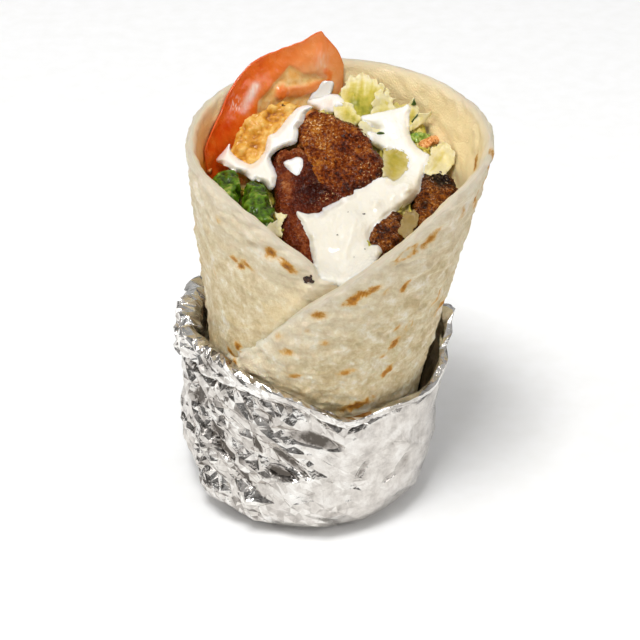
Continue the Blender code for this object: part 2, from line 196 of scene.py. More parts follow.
def smooth(points, places):
    """Values on the smooth curve through (place, value) points, which never overshoots them."""
    at, value = np.array(points, float).T
    step = np.diff(at)
    slope = np.diff(value) / step
    tangent = np.concatenate([slope[:1], np.zeros(len(at) - 2), slope[-1:]])
    same_way = slope[:-1] * slope[1:] > 0
    both = np.where(same_way, slope[:-1] + slope[1:], 1)
    tangent[1:-1] = np.where(same_way, 2 * slope[:-1] * slope[1:] / both, 0)
    places = np.clip(places, at[0], at[-1])
    i = np.clip(np.searchsorted(at, places) - 1, 0, len(step) - 1)
    t = (places - at[i]) / step[i]
    return (
        value[i] * (1 + 2 * t) * (1 - t) ** 2
        + value[i + 1] * t * t * (3 - 2 * t)
        + step[i] * tangent[i] * t * (1 - t) ** 2
        - step[i] * tangent[i + 1] * t * t * (1 - t)
    )


def ease(low, high, value):
    """0 up to low and 1 from high, on a smooth S between them."""
    t = np.clip((np.asarray(value, float) - low) / (high - low), 0, 1)
    return t * t * (3 - 2 * t)


def axis_x(height):
    return smooth(AXIS_X_IN_FOIL, height) + AXIS_LEAN * np.maximum(height - CONE_BOTTOM, 0)


def outer_radius(height):
    cone = CONE_RADIUS_AT_BOTTOM + CONE_FLARE * (height - CONE_BOTTOM)
    swollen = smooth((*SWELLING, (CONE_BOTTOM, CONE_RADIUS_AT_BOTTOM)), height)
    return np.where(height >= CONE_BOTTOM, cone, swollen)


def bell(*offsets):
    """1 where each offset is 0 and near 0 where one is 2; an offset is a distance over its width."""
    return np.exp(-sum(np.asarray(offset) ** 2 for offset in offsets))


def flat(u, v):
    """Places laid out flat, ready for rough."""
    return np.stack([u, v, 0 * u], -1)


def tilted(across, up, degrees):
    """Offsets along and across a direction at this tilt."""
    c, s = math.cos(math.radians(degrees)), math.sin(math.radians(degrees))
    return c * across + s * up, c * up - s * across


def layer_share(turn):
    """0 where the sheet is the outer layer of the roll, 1 where it is the inner one."""
    return np.clip((turn - OUTER_LAYER_UNTIL) / (INNER_LAYER_FROM - OUTER_LAYER_UNTIL), 0, 1)


def around(turn, radius, height, centre_x):
    angle = np.radians(turn)
    x, y = centre_x + radius * np.sin(angle), -radius * np.cos(angle)
    return np.stack([x, y, height + 0 * x], -1)


def rough(points, size, seed=0.0):
    """Smooth unevenness from -1 to 1 at each point; size is one length, or one for each axis."""
    places = np.asarray(points, float).reshape(-1, 3) / size + seed
    values = [noise.noise(Vector(place)) for place in places]
    return np.array(values).reshape(np.shape(points)[:-1])


def ridges(points, size, seed=0.0):
    """Sharp crests at 1 with round valleys down to about -1 between them."""
    return 1 - 4 * np.abs(rough(points, size, seed))


def near_line(u, v, line):
    """Distance of each place (u, v) from the line through a few points."""
    nearest = np.full(np.shape(u), 1e9)
    for (au, av), (bu, bv) in zip(line, line[1:]):
        length = (bu - au) ** 2 + (bv - av) ** 2
        t = np.clip(((u - au) * (bu - au) + (v - av) * (bv - av)) / length, 0, 1)
        gap = np.hypot(u - au - t * (bu - au), v - av - t * (bv - av))
        nearest = np.minimum(nearest, gap)
    return nearest


# Across the sheet's section: rows up its outer side, round its edge, and down its inner side.
OUTER_ROWS, CREST_ROWS, INNER_ROWS = 120, 5, 46
OUTER_DETAIL_FROM, INNER_DETAIL_FROM = 46 * MM, 84 * MM
turns = np.linspace(OUTER_FLAP_END, INNER_FLAP_END, 460)
edges = smooth(EDGE_HEIGHTS, turns)
slant = math.hypot(1, CONE_FLARE)


def bottom_rows(inset):
    """(radius, height) rows from the middle of the bottom, round its corner, to the wall."""
    corner_height = TORTILLA_BOTTOM + BOTTOM_ROUNDING
    corner_radius = float(outer_radius(corner_height)) - BOTTOM_ROUNDING * slant
    floor = TORTILLA_BOTTOM + inset
    rows = [(1.5 * MM + 0 * inset, floor), (0.6 * corner_radius + 0 * inset, floor)]
    for angle in np.linspace(-math.pi / 2, -math.atan(CONE_FLARE), 5):
        bend = BOTTOM_ROUNDING - inset
        rows.append((corner_radius + bend * math.cos(angle), corner_height + bend * math.sin(angle)))
    for height in (18 * MM, 30 * MM, 42 * MM):
        rows.append((outer_radius(height) - inset * slant, height + 0 * inset))
    return rows


inset = LAYER_PITCH * layer_share(turns)
section = []  # each row: radius, height, side (1 outer, 0 crest, -1 inner)
for radius, height in bottom_rows(inset):
    section.append((radius, height, 1))
for share in np.linspace(0, 1, OUTER_ROWS):
    height = OUTER_DETAIL_FROM + share * (edges - EDGE_ROUNDING - OUTER_DETAIL_FROM)
    section.append((outer_radius(height) - inset * slant, height, 1))
for angle in np.linspace(0, math.pi, CREST_ROWS + 2)[1:-1]:
    middle = outer_radius(edges) - inset * slant - SHEET_THICKNESS / 2 * slant
    radius = middle + SHEET_THICKNESS / 2 * slant * math.cos(angle)
    height = edges - EDGE_ROUNDING * (1 - math.sin(angle))
    section.append((radius, height, math.cos(angle)))
inner_inset = inset + SHEET_THICKNESS
for share in np.linspace(0, 1, INNER_ROWS):
    start = np.minimum(INNER_DETAIL_FROM, edges - 6 * MM)
    height = edges - EDGE_ROUNDING - share * (edges - EDGE_ROUNDING - start)
    section.append((outer_radius(height) - inner_inset * slant, height, -1))
for radius, height in reversed(bottom_rows(inner_inset)):
    section.append((radius, height, -1))

radius, height, side = (np.stack([np.broadcast_to(v, turns.shape) for v in column], 1)
                        for column in zip(*section))
turn = np.broadcast_to(turns[:, None], radius.shape)
below_edge = edges[:, None] - height


def along_sheet(turn):
    """Millimetres along the sheet at a turn."""
    return np.radians(turn) * SHEET_RADIUS / MM


u, v = along_sheet(turn), height / MM
outer_flap = turn < OUTER_LAYER_UNTIL
shear = -0.2 + 0.5 * ease(45, 200, turn)  # wrinkles fall to the right on both flaps
along = np.stack([u, v - shear * (edges[:, None] / MM - 60), 0 * u], -1)
upright = around(turn, SHEET_RADIUS, height, 0.0)

free = ease(47 * MM, 62 * MM, height)
waves = 0.55 * MM * rough(upright, 17 * MM, 3) * free
# Depth, length along and height of the dimples in mm, and where each pattern starts.
DIMPLES = ((0.95, 6.5, 3.6, 11), (0.7, 3.4, 2.0, 5), (0.36, 1.8, 1.3, 23))
dimples = sum(deep * rough(along, np.array([long, high, 1]), seed) for deep, long, high, seed in DIMPLES)
blisters = 0.6 * np.maximum(rough(flat(u, v), 5.5, 41) - 0.12, 0)
relief = (dimples + blisters) * MM
beneath = (turn > 285) & (below_edge > 14 * MM)
relief = np.where(side > 0, relief * np.where(beneath, 0.3, 1.0), relief * 0.6)

inner_flap = turn > 200
# Long soft creases: their flap, (turn, height) points, and their height (or depth, below 0) and
# half width in mm.
CREASES = (
    (inner_flap, ((-38, 102), (-27, 96), (-25, 88)), 0.5, 1.4),
    (inner_flap, ((-53, 84), (-43, 83), (-27, 87)), 0.45, 1.3),
    (outer_flap, ((-34, 84), (-28, 78)), -0.4, 1.2),
    (inner_flap, ((-50, 109), (-28, 108), (-15, 104.5), (-8, 101.5)), -0.7, 2.2),
    (inner_flap, ((-66, 118), (-48, 115), (-30, 112)), -0.35, 1.6),
    (inner_flap, ((-70, 128), (-60, 112), (-56, 96)), 0.35, 1.8),
    (inner_flap, ((4, 112.5), (-6, 108), (-13, 100), (-20, 93)), 0.75, 1.5),
    (outer_flap, ((6, 92), (24, 99), (40, 112)), -0.25, 2.6),
    (outer_flap, ((20, 74), (38, 84), (52, 98)), -0.25, 2.4),
)
pressed = np.zeros_like(u)
for flap, line, tall, wide in CREASES:
    for lap in (0, 360):
        pressed += tall * bell(near_line(u, v, [(along_sheet(t + lap), z) for t, z in line]) / wide) * flap
lip = 0.35 * MM * bell(below_edge / (2.2 * MM)) * outer_flap * ease(-30, 5, turn)
lip -= 1.7 * MM * bell(below_edge / (6 * MM)) * outer_flap * ease(6, -24, turn)
# The two flaps are pressed together low at the left, so the inner one swells up to the other.
seam = [(along_sheet(t + 360), float(smooth(EDGE_HEIGHTS, t)) / MM) for t in range(-74, 12, 6)]
pressed += 1.6 * bell(near_line(u, v, seam) / 7) * ease(366, 336, turn) * (turn > 285)
push = waves + np.where(side > 0, relief + pressed * MM * free + lip, 0) - np.where(side < 0, relief, 0)
push = np.where(np.abs(side) < 1, waves + side * relief * 0.7 + lip, push) * (height >= 47 * MM)
uneven_edge = 0.35 * MM * rough(upright, 6 * MM, 9) * (below_edge < 3 * MM)
points = around(turn, radius + push, height + uneven_edge, axis_x(height))



def swept_faces(shape, turned=False):
    """Faces of a closed section swept through the columns of a grid of points, and of its two ends."""
    index = np.arange(shape[0] * shape[1]).reshape(shape)
    over = np.roll(index, -1, 1)
    quads = np.stack([index[:-1], index[1:], over[1:], over[:-1]], -1).reshape(-1, 4)
    ends = [index[0], index[-1][::-1]]
    if turned:
        quads, ends = quads[:, [0, 3, 2, 1]], [end[::-1] for end in ends]
    return quads.tolist() + [end.tolist() for end in ends]


# Toasted spots: turn, height, length, width, tilt of the length in degrees, and strength, which is
# below 0 for a ring.
TOASTED = [
    (-50, 124, 3, 2, 0, 0.4), (-43, 110.6, 3.2, 2.2, -25, 0.8), (-39.6, 109, 3.4, 2.4, 10, 0.95),
    (-36, 110.6, 4.4, 1.8, -35, 0.75), (-24.5, 118.6, 3.2, 3.0, -60, 1.0),
    (-21, 116.8, 3, 1.4, -25, 0.45), (-17, 115, 5.6, 2.4, -42, 0.95), (38, 122.2, 6.4, 2.6, 42, 0.8),
    (28.5, 119, 7.5, 3.6, 36, -0.85), (10, 103.8, 5.2, 2.7, 30, 0.95), (13.6, 105.6, 3.4, 2.0, -10, 0.8),
    (17.2, 107, 4.4, 2.2, 38, 0.9), (32, 105, 4.2, 1.8, 52, 0.85), (23.5, 105, 2.8, 2.2, 40, 0.45),
    (55, 93, 7, 1.8, 66, 0.6), (55, 126, 4.2, 2, 70, 0.5), (67, 126, 4.6, 2.2, 75, 0.8),
    (76, 134, 10, 3.2, 78, 0.9), (-3, 98, 4.2, 2.8, 0, 0.75), (-19, 87, 3, 2.2, 0, 0.4),
    (1, 86, 2.6, 2, 10, 0.55), (-15, 81, 3.8, 2, 0, 0.6), (33, 87, 3, 2, 30, 0.6),
    (40, 86, 4, 2.6, 50, -0.6), (34, 80, 4, 2.4, 60, 0.85), (29, 76, 2, 1.5, 40, 0.5),
    (-11, 71, 4.2, 2.2, 0, 0.6), (12, 72, 4.8, 2.2, 10, 0.65), (33.5, 68, 4.6, 1.8, 55, 0.8),
    (-42, 75.5, 3, 2.6, 60, 0.85), (-47.5, 71, 4.5, 1.6, -30, 0.9), (-42.5, 68, 5, 1.8, -30, 0.8),
    (21, 56, 8.5, 3.2, 12, 1.0), (-58, 100, 2.6, 1.8, -40, 0.3), (-7, 91, 2.2, 1.4, 0, 0.3),
]
draw = np.random.default_rng(7)
for _ in range(64):
    TOASTED.append((
        draw.uniform(62, 296), draw.uniform(62, 134), draw.uniform(2.2, 6.5), draw.uniform(1.5, 3.2),
        draw.uniform(-60, 60), draw.uniform(0.35, 1.0) * (1 if draw.random() < 0.85 else -1),
    ))
TOASTED_INSIDE = ((92, 128, 5, 2.4, 70, 0.9), (236, 122, 9, 5, 60, 0.55), (246, 112, 9, 6, 80, 0.7))


def toasted(spots, stretch, steep):
    """How deep each place is in its nearest spot, and how strongly that one is toasted."""
    toast, strength = np.full(u.shape, -1.0), np.zeros(u.shape)
    for spot_turn, spot_height, length, width, tilt, power in spots:
        for lap in (0, 360):
            du, dv = tilted((u - along_sheet(spot_turn + lap)) * stretch, v - spot_height, tilt)
            close = 1 - np.hypot(du / length, dv / width) * steep
            if power < 0:
                close = 0.4 - np.abs(close - 0.4) * 1.6
            nearer = close > toast
            toast = np.where(nearer, close, toast)
            strength = np.where(nearer & (close > -0.9), abs(power), strength)
    return np.stack([toast, strength])


outside, inside = toasted(TOASTED, radius / SHEET_RADIUS, 1.22), toasted(TOASTED_INSIDE, 0.85, 1.35)
toast, strength = np.where(side < 0, inside, outside)
# The inner flap is moist beside the sauce, and its inner side at the left is painted orange: a painted glow
# of the light that the tomato throws on it.
moist_line = [(along_sheet(t + 360), z) for t, z in ((4, 113), (-6, 108), (-13, 100), (-22, 92))]
moist_and_glow = 0.5 * bell(near_line(u, v, moist_line) / 5) * inner_flap * (side > -0.5)
tomato_glow = ease(232, 250, turn) * ease(300, 284, turn) * ease(86, 100, v) * (1 - 0.45 * ease(118, 137, v))
moist_and_glow = np.where(side < -0.5, tomato_glow * (0.95 + 0.3 * rough(flat(u, v), 6, 77)), moist_and_glow)
# Painted light: the outer side is painted paler over its upper part, where more light falls; the edge itself
# is paler still.
pale_edge_and_top_light = bell(below_edge / (2.6 * MM)) + 0.9 * bell(below_edge / (22 * MM)) * (side > 0)


def finish_face(add, shader, colour, height, strength, depth, gloss=None):
    """Gives a shader its colour, a bump of this depth in metres from a height and, with gloss
    (a grain, and the roughness in its hollows and on its crests), its roughness."""
    bump = add("Bump", {"Strength": strength, "Distance": depth, "Height": height})
    feed(shader, {"Base Color": colour, "Normal": bump})
    if gloss:
        feed(shader, {"Roughness": add("MapRange", (gloss[0], 0.35, 0.65, *gloss[1:]))})
    return bump


flour, add, shader = new_finish(
    "tortilla_baked_wheat_dough", Roughness=0.62, IOR=1.45, Subsurface_Weight=0.12,
    Subsurface_Scale=0.0015,
)
# Soft matte dough: cream where it stood off the plate, tan and slightly translucent where it lay.
# Its patterns are laid out in mm along the sheet, so a scale of 0.16 gives mottles of 6 mm.
marks = add("Attribute", attribute_name="marks")
mark = add("SeparateColor", (marks,))
place = add("Attribute", attribute_name="place").outputs["Vector"]
broad = add("TexNoise", {"Vector": place, "Scale": 0.16, "Detail": 3.0, "Roughness": 0.6})
fine = add("TexNoise", {"Vector": place, "Scale": 0.62, "Detail": 4.0, "Roughness": 0.62})
mottle = add("Mix", {"Factor": 0.45, "A": broad, "B": fine})
dough = add(
    "ValToRGB", (mottle,),
    stops=((0.34, "#c6ae80"), (0.45, "#d7c295"), (0.54, "#e5d5b0"), (0.64, "#f5ecd8")),
)
# Painted bounce light: the inner side is painted warmer and paler than the outer, for the light bounced round
# inside the roll.
within = add("SeparateXYZ", {"Vector": place}).outputs["Z"]
inner_bounce_light = add("MapRange", (within, 0.0, -20.0, 0.0, 0.9))
warm_bounce_light = add("Mix", {"Factor": inner_bounce_light, 6: dough, 7: "#ffe8b2"}, data_type="RGBA")
# On the outer side this tone is the moist dough's own; on the inner side it is a painted orange glow from the
# tomato.
glow_side = add("MapRange", (within, 1.0, -1.0))
moist_and_glow_tone = add("Mix", {"Factor": glow_side, 6: "#e8cf94", 7: "#ff9c26"}, data_type="RGBA")
soaked_and_glowing = add("Mix", {"Factor": marks.outputs["Alpha"], 6: warm_bounce_light, 7: moist_and_glow_tone}, data_type="RGBA")
# The edge is paler, and the outer side's upper part is painted lighter, as painted light.
edge_white_and_top_light = add("Math", (mark.outputs["Blue"], 0.45), operation="MULTIPLY")
floured_and_top_lit = add("Mix", {"Factor": edge_white_and_top_light, 6: soaked_and_glowing, 7: "#f6ecd8"}, data_type="RGBA")
ragged = add("TexNoise", {"Vector": place, "Scale": 0.55, "Detail": 2.5, "Roughness": 0.55})
shape = add("Math", (ragged, 0.72, mark.outputs["Red"]), operation="MULTIPLY_ADD")
browned = add("MapRange", (shape, 0.68, 1.42), interpolation_type="SMOOTHSTEP")
amount = add("Math", (browned, mark.outputs["Green"]), operation="MULTIPLY")
brown = add(
    "ValToRGB", (amount,),
    stops=((0.06, "#e6cc98"), (0.34, "#dcab58"), (0.66, "#bc7c1c"), (0.95, "#88500a")),
)
cover = add("MapRange", (amount, 0.0, 0.5))
skin = add("Mix", {"Factor": cover, 6: floured_and_top_lit, 7: brown}, data_type="RGBA")
crumb = add("TexNoise", {"Vector": place, "Scale": 1.6, "Detail": 4.0, "Roughness": 0.6})
finish_face(add, shader, skin, crumb, strength=0.8, depth=0.0006)

tortilla = plain_mesh("tortilla_sheet", points.reshape(-1, 3), swept_faces(radius.shape), flour)


def add_marks(obj, name, *channels, kind="FLOAT_COLOR"):
    """Stores values for each point of the mesh, which its finish reads as a colour or a vector;
    both sides of a piece that was drawn as one outline get the same."""
    channels = [np.ravel(channel) for channel in channels]
    if kind == "FLOAT_COLOR":
        channels += [0 * channels[0]] * (3 - len(channels))
        channels += [1 + 0 * channels[0]] * (4 - len(channels))
    values = np.tile(np.stack(channels, -1), (len(obj.data.vertices) // len(channels[0]), 1))
    layer = obj.data.attributes.new(name, kind, "POINT")
    layer.data.foreach_set("color" if kind == "FLOAT_COLOR" else "vector", values.astype(np.float32).ravel())


add_marks(tortilla, "marks", toast * 0.5 + 0.5, strength, np.clip(pale_edge_and_top_light, 0, 1.4), moist_and_glow)
add_marks(tortilla, "place", along[..., 0], along[..., 1], side * 30, kind="FLOAT_VECTOR")
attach(tortilla, "root")
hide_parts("tortilla")

# ------------------------------------------------------------
# The foil: kitchen foil wrapped round the lower half and pressed by hand, so that it lies in
# smooth panels between sharp creases, finely crushed at the left. Its rim is folded over.

FOIL_RIM_HEIGHTS = in_mm(
    (0, 60), (18, 53.5), (37, 54.5), (65, 52), (76, 56), (90, 61), (103, 66), (140, 67), (180, 63), (220, 65),
    (252, 67), (270, 66), (306, 70), (328, 68), (346, 64.5), (360, 60),
)
FOIL_RIM_REACH = in_mm(
    (0, 43.5), (20, 44), (40, 44.2), (70, 46.5), (90, 48.5), (135, 47.5), (180, 46), (225, 45), (270, 44.5),
    (305, 44.5), (330, 43.4), (360, 43.5),
)
FOIL_BELLY_HEIGHT = 30 * MM
FOIL_BELLY_REACH = in_mm((0, 43.5), (90, 44.4), (180, 44), (270, 46), (360, 43.5))
FOIL_SPREAD = ((0, 0.72), (2.5 * MM, 0.83), (8 * MM, 0.92), (17 * MM, 0.98), (30 * MM, 1))
# How finely the foil is crushed at each turn: 1 for small sharp facets, 0 for smooth panels.
FOIL_CRUSHED = (
    (0, 0.5), (9, 0.4), (18, 0.28), (30, 0.2), (60, 0.15), (84, 0.35), (110, 0.45), (150, 0.5), (190, 0.55),
    (230, 0.6), (262, 1), (300, 1.1), (328, 1), (345, 0.75), (360, 0.5),
)
FOIL_FOLD = in_mm(
    (0, 0.7), (45, 0.6), (85, 0.9), (140, 1.4), (200, 1.6), (240, 2.6), (275, 2.5), (305, 2.1), (335, 1.2),
    (360, 0.7),
)
FOIL_LENGTH = 2 * math.pi * 44  # round the foil, in mm
WALL, RIM, INSIDE = 64, 5, 50  # lengths of the wall, over the rim and down inside, in mm
STRIP_HEIGHT = WALL + RIM + INSIDE


def scattered(spacing, seed, tries):
    """Points no nearer to each other than spacing(u, v) says, on the strip, which closes on itself."""
    draw = np.random.default_rng(seed)
    cell, grid, kept = 6.0, {}, []
    around_strip = int(FOIL_LENGTH / cell) + 1
    for u, v in zip(draw.uniform(0, FOIL_LENGTH, tries), draw.uniform(0, STRIP_HEIGHT, tries)):
        gap, home = spacing(u, v), (int(u / cell), int(v / cell))
        near = (
            kept[k] for a in (-1, 0, 1) for b in (-1, 0, 1)
            for k in grid.get(((home[0] + a) % around_strip, home[1] + b), ())
        )
        if all(
            min(abs(u - pu), FOIL_LENGTH - abs(u - pu)) ** 2 + (v - pv) ** 2 > gap * gap for pu, pv in near
        ):
            grid.setdefault(home, []).append(len(kept))
            kept.append((u, v))
    return kept


def crushed(u, v):
    """1 where the foil is finely crushed, 0 on its smooth panels."""
    at = float(smooth(FOIL_CRUSHED, u / FOIL_LENGTH * 360))
    patchy = 0.55 * noise.noise(Vector((u / 15, v / 15, 4.2)))
    rim = 0.7 * math.exp(-(((v - WALL + 3) / 4) ** 2)) * (0.3 + at)
    return min(max(at + patchy + rim, 0), 1)


def left_rim(u, v):
    """1 on the bunched rim at the far left, 0 away from it."""
    return bell((u / FOIL_LENGTH * 360 - 283) / 26, (v - WALL - 1) / 6)


def creased(spots, slant):
    """Triangles between the points, the strip closed on itself, drawn out along a slant."""
    copies = [(u + lap * FOIL_LENGTH, v, k) for lap in (-1, 0, 1) for k, (u, v) in enumerate(spots)
              if -40 < u + lap * FOIL_LENGTH < FOIL_LENGTH + 40]
    laid = [Vector((u + slant * v, v)) for u, v, _ in copies]
    found = geometry.delaunay_2d_cdt(laid, [], [], 0, 1e-6)
    return copies, [[found[3][corner][0] for corner in triangle] for triangle in found[2]]


# Long creases between broad panels, then short ones within them where the foil is crushed.
draw = np.random.default_rng(5)
edge_rows = [(FOIL_LENGTH * k / 40, v) for v in (-4.0, STRIP_HEIGHT + 4.0) for k in range(40)]
layers = []
crease_points, crease_edges = [], []


def add_creases(points, pairs):
    """Adds creases between these (u, v) points to the foil's flat pattern."""
    start = len(crease_points)
    crease_points.extend(Vector(point) for point in points)
    crease_edges.extend((start + a, start + b) for a, b in pairs)


# Each layer: the spacing, seed and tries of its points, their least and further height, the slant.
LAYERS = (
    (lambda u, v: 7.8 - 3.0 * crushed(u, v), 17, 6000, 0.3, 2.2, 0.9),
    (lambda u, v: 3.7 - 2.2 * crushed(u, v) - 0.5 * left_rim(u, v), 3, 34000, 0.08, 0.8, 0.3),
)
for spacing, seed, tries, least, further, slant in LAYERS:
    spots = edge_rows + scattered(spacing, seed, tries)
    heights = draw.uniform(-1, 1, len(spots)) * np.array([least + further * crushed(u, v) for u, v in spots])
    copies, triangles = creased(spots, slant)
    layers.append(BVHTree.FromPolygons([Vector((u, v, heights[k])) for u, v, k in copies], triangles))
    pairs = {tuple(sorted(pair)) for t in triangles for pair in zip(t, t[1:] + t[:1])}
    add_creases([(u, v) for u, v, _ in copies], pairs)


def crumple(u, v):
    """How far the foil stands out there (mm), from its broad panels and its small dents."""
    total = 0.0
    for tree in layers:
        hit = tree.ray_cast(Vector((u % FOIL_LENGTH, v, 9)), Vector((0, 0, -1)))[0]
        total += hit.z if hit else 0.0
    return total


# One flat pattern whose edges follow every crease, with the edge of the folded hem under the rim.
HEM_HEIGHTS = (
    (0, 3.4), (30, 2.7), (60, 2.5), (100, 3.2), (160, 4), (220, 4.6), (270, 6.4), (310, 6.2), (335, 4.4),
    (360, 3.4),
)


def hem(u):
    """Height of the folded hem there, in mm along the foil."""
    wobble = 0.5 * rough(flat(np.cos(u / 7) * 4, np.sin(u / 7) * 4), 1.0, 8)
    return smooth(HEM_HEIGHTS, u % FOIL_LENGTH / FOIL_LENGTH * 360) + wobble


# Dents at the front: middle along the foil and up, half length and half width (mm), tilt, depth.
DENTS = (
    (1.6, 49.0, 9.5, 3.2, 8, 1), (266.7, 31.3, 6, 2.0, -8, 1), (269.3, 36.8, 8, 1.5, -35, 1),
    (240.5, 37.4, 3.6, 3.4, 0, 1), (245, 32.3, 4.6, 2.3, -20, 1), (231.4, 46.4, 4, 2.3, 80, 1),
    (252, 25, 5, 1.3, -60, 1), (258, 40, 4, 1.2, -70, 1), (35.9, 31.1, 5.5, 2.4, 55, 0.4),
    (31, 27, 4, 1.2, 20, 0.4), (19, 36, 5, 1.6, 62, 0.4),
)
steps = 150
laid_u = FOIL_LENGTH * np.arange(-20, steps + 21) / steps
hem_height = hem(laid_u)
for level in (
    WALL - hem_height - 0.7, WALL - hem_height, WALL - hem_height + 0.35, WALL - 0.5 * hem_height,
    WALL + 0 * laid_u, WALL + RIM + 0 * laid_u,
):
    add_creases(zip(laid_u, level), [(k, k + 1) for k in range(steps + 40)])
for du, dv, long, wide, tilt, _ in DENTS:  # a crease round each dent
    c, s = math.cos(math.radians(tilt)), math.sin(math.radians(tilt))
    for lap in (-FOIL_LENGTH, 0, FOIL_LENGTH):
        for ring in (0.5, 0.9, 1.15):
            angles = [k * math.pi / 8 for k in range(16)]
            oval = [(ring * long * math.cos(angle), ring * wide * math.sin(angle)) for angle in angles]
            turned = [(du + lap + c * a - s * b, dv + s * a + c * b) for a, b in oval]
            add_creases(turned, [(k, (k + 1) % 16) for k in range(16)])
for seam in (0.0, FOIL_LENGTH):
    add_creases([(seam, v) for v in (-3.9, STRIP_HEIGHT + 3.9)], [(0, 1)])
for level in (0.0, float(STRIP_HEIGHT)):
    add_creases([(-12.0, level), (FOIL_LENGTH + 12.0, level)], [(0, 1)])
found = geometry.delaunay_2d_cdt(crease_points, crease_edges, [], 0, 1e-4)
su, sv = np.array([tuple(point) for point in found[0]]).T
triangles = []
for triangle in found[2]:
    middle_u, middle_v = su[triangle].mean(), sv[triangle].mean()
    if 0 < middle_u < FOIL_LENGTH and 0 < middle_v < STRIP_HEIGHT:
        triangles.append(list(triangle))
used = sorted({corner for triangle in triangles for corner in triangle})
renamed = {old: new for new, old in enumerate(used)}
triangles = [[renamed[corner] for corner in triangle] for triangle in triangles]
su, sv = su[used], sv[used]

foil_turn = su / FOIL_LENGTH * 360
rim_height = smooth(FOIL_RIM_HEIGHTS, foil_turn)
down_inside = np.clip((sv - WALL - RIM) / INSIDE, 0, 1)
share = np.where(sv <= WALL, sv / WALL, 1 - 0.93 * down_inside)
height = share * rim_height
reach = smooth(FOIL_BELLY_REACH, foil_turn)
above = np.clip((height - FOIL_BELLY_HEIGHT) / (rim_height - FOIL_BELLY_HEIGHT), 0, 1)
reach = smooth(FOIL_SPREAD, height) * (reach + above * (smooth(FOIL_RIM_REACH, foil_turn) - reach))
over_rim = np.clip((sv - WALL) / RIM, 0, 1) * math.pi
fold = smooth(FOIL_FOLD, foil_turn)
reach -= fold * (1 - np.cos(over_rim))
height = height + fold * np.sin(over_rim)
dented = 0 * su
for du, dv, long, wide, tilt, depth in DENTS:
    au, av = tilted((su - du + FOIL_LENGTH / 2) % FOIL_LENGTH - FOIL_LENGTH / 2, sv - dv, tilt)
    across = (au / long) ** 2 + (av / wide) ** 2
    dented = np.maximum(dented, depth * np.exp(-(np.minimum(across, 4) ** 4)))
above_hem = sv - WALL + hem(su)
on_hem = ease(0, 0.4, above_hem) * (sv < WALL + RIM)
calm = on_hem * np.where(foil_turn > 180, ease(292, 325, foil_turn), ease(90, 60, foil_turn))
stand = np.array([crumple(a, b) for a, b in zip(su, sv)]) * MM * (1 - 0.8 * dented) * (1 - 0.75 * calm)
frilled = left_rim(su, sv)
place = around(foil_turn, reach, height, 0.0)
swell = 0.9 * MM * rough(place, 16 * MM, 2)
loose = ease(0.0, 0.14, share)
stand_out = stand * (1 + 0.9 * bell((foil_turn - 285) / 22) * ease(WALL - 16, WALL - 4, sv))
push = np.where(sv < WALL + RIM, stand_out + swell, (0.5 + 0.5 * frilled) * stand_out + 0.5 * swell) * loose
thicker = 1 + 0.4 * bell((foil_turn - 285) / 26)
band = MM * thicker * ease(0, 0.3, above_hem) * (1.4 + 0.35 * rough(flat(su, sv), 5, 6))
band *= 1 - ease(WALL + 0.5, WALL + RIM, sv)
inside_room = reach - (axis_x(height) * np.sin(np.radians(foil_turn)) + outer_radius(height)) - 0.8 * MM
reach = reach - np.maximum(inside_room, 0) * ease(0.03, 0.30, down_inside)
groove = 0.7 * MM * bell((above_hem + 0.5) / 1.1)
push = np.clip(push, -2.1 * MM, 1.9 * MM) + band - groove - 1.1 * MM * dented
# Painted reflection and shade: the dents and a line under the hem are painted darker, a painted shadow there;
# the hem's lower edge and the bunched rim at the left are painted lighter, and the hem unevenly so.
reflection_shade = 1.5 * dented + 1.1 * bell((above_hem + 0.7) / 0.5) - 0.8 * frilled
reflection_shade -= 0.8 * bell((above_hem - 0.35) / 0.3)
reflection_shade -= on_hem * (0.1 + 1.3 * rough(flat(su / 9, sv / 5), 1.0, 4))
lift = (0.9 + 0.7 * frilled) * stand * ease(WALL - 5, WALL, sv) * (sv < WALL + RIM + 3)
place = around(foil_turn, reach + push, height + lift, 0.0)
bottom_hub, inner_hub = len(place), len(place) + 1
place = np.concatenate([place, [[0, 0, 0], [0, 0, 3 * MM]]])
place[:bottom_hub][sv < 0.001, 2] = 0
for level, hub in ((0.0, bottom_hub), (float(STRIP_HEIGHT), inner_hub)):
    ring = [k for k in np.argsort(su) if abs(sv[k] - level) < 0.001]
    triangles += [[hub, ahead, k] for k, ahead in zip(ring, ring[1:])]

aluminium, add, shader = new_finish("foil_bright_aluminium", Metallic=1.0)
# Rolled aluminium: mirror-bright with a faint grain, which blurs what each panel reflects. The
# rolling marks are drawn 4 mm apart, as the real ones are too fine to show.
coord = add("TexCoord").outputs["Object"]
rubbed = add("TexNoise", {"Vector": coord, "Scale": 240.0, "Detail": 3.0})
gloss = add("MapRange", (rubbed, 0.3, 0.7, 0.10, 0.24))
feed(shader, {"Roughness": gloss})
wrinkle = add("TexVoronoi", {"Vector": coord, "Scale": 260.0}, feature="DISTANCE_TO_EDGE")
soft = add("TexNoise", {"Vector": coord, "Scale": 420.0, "Detail": 3.0})
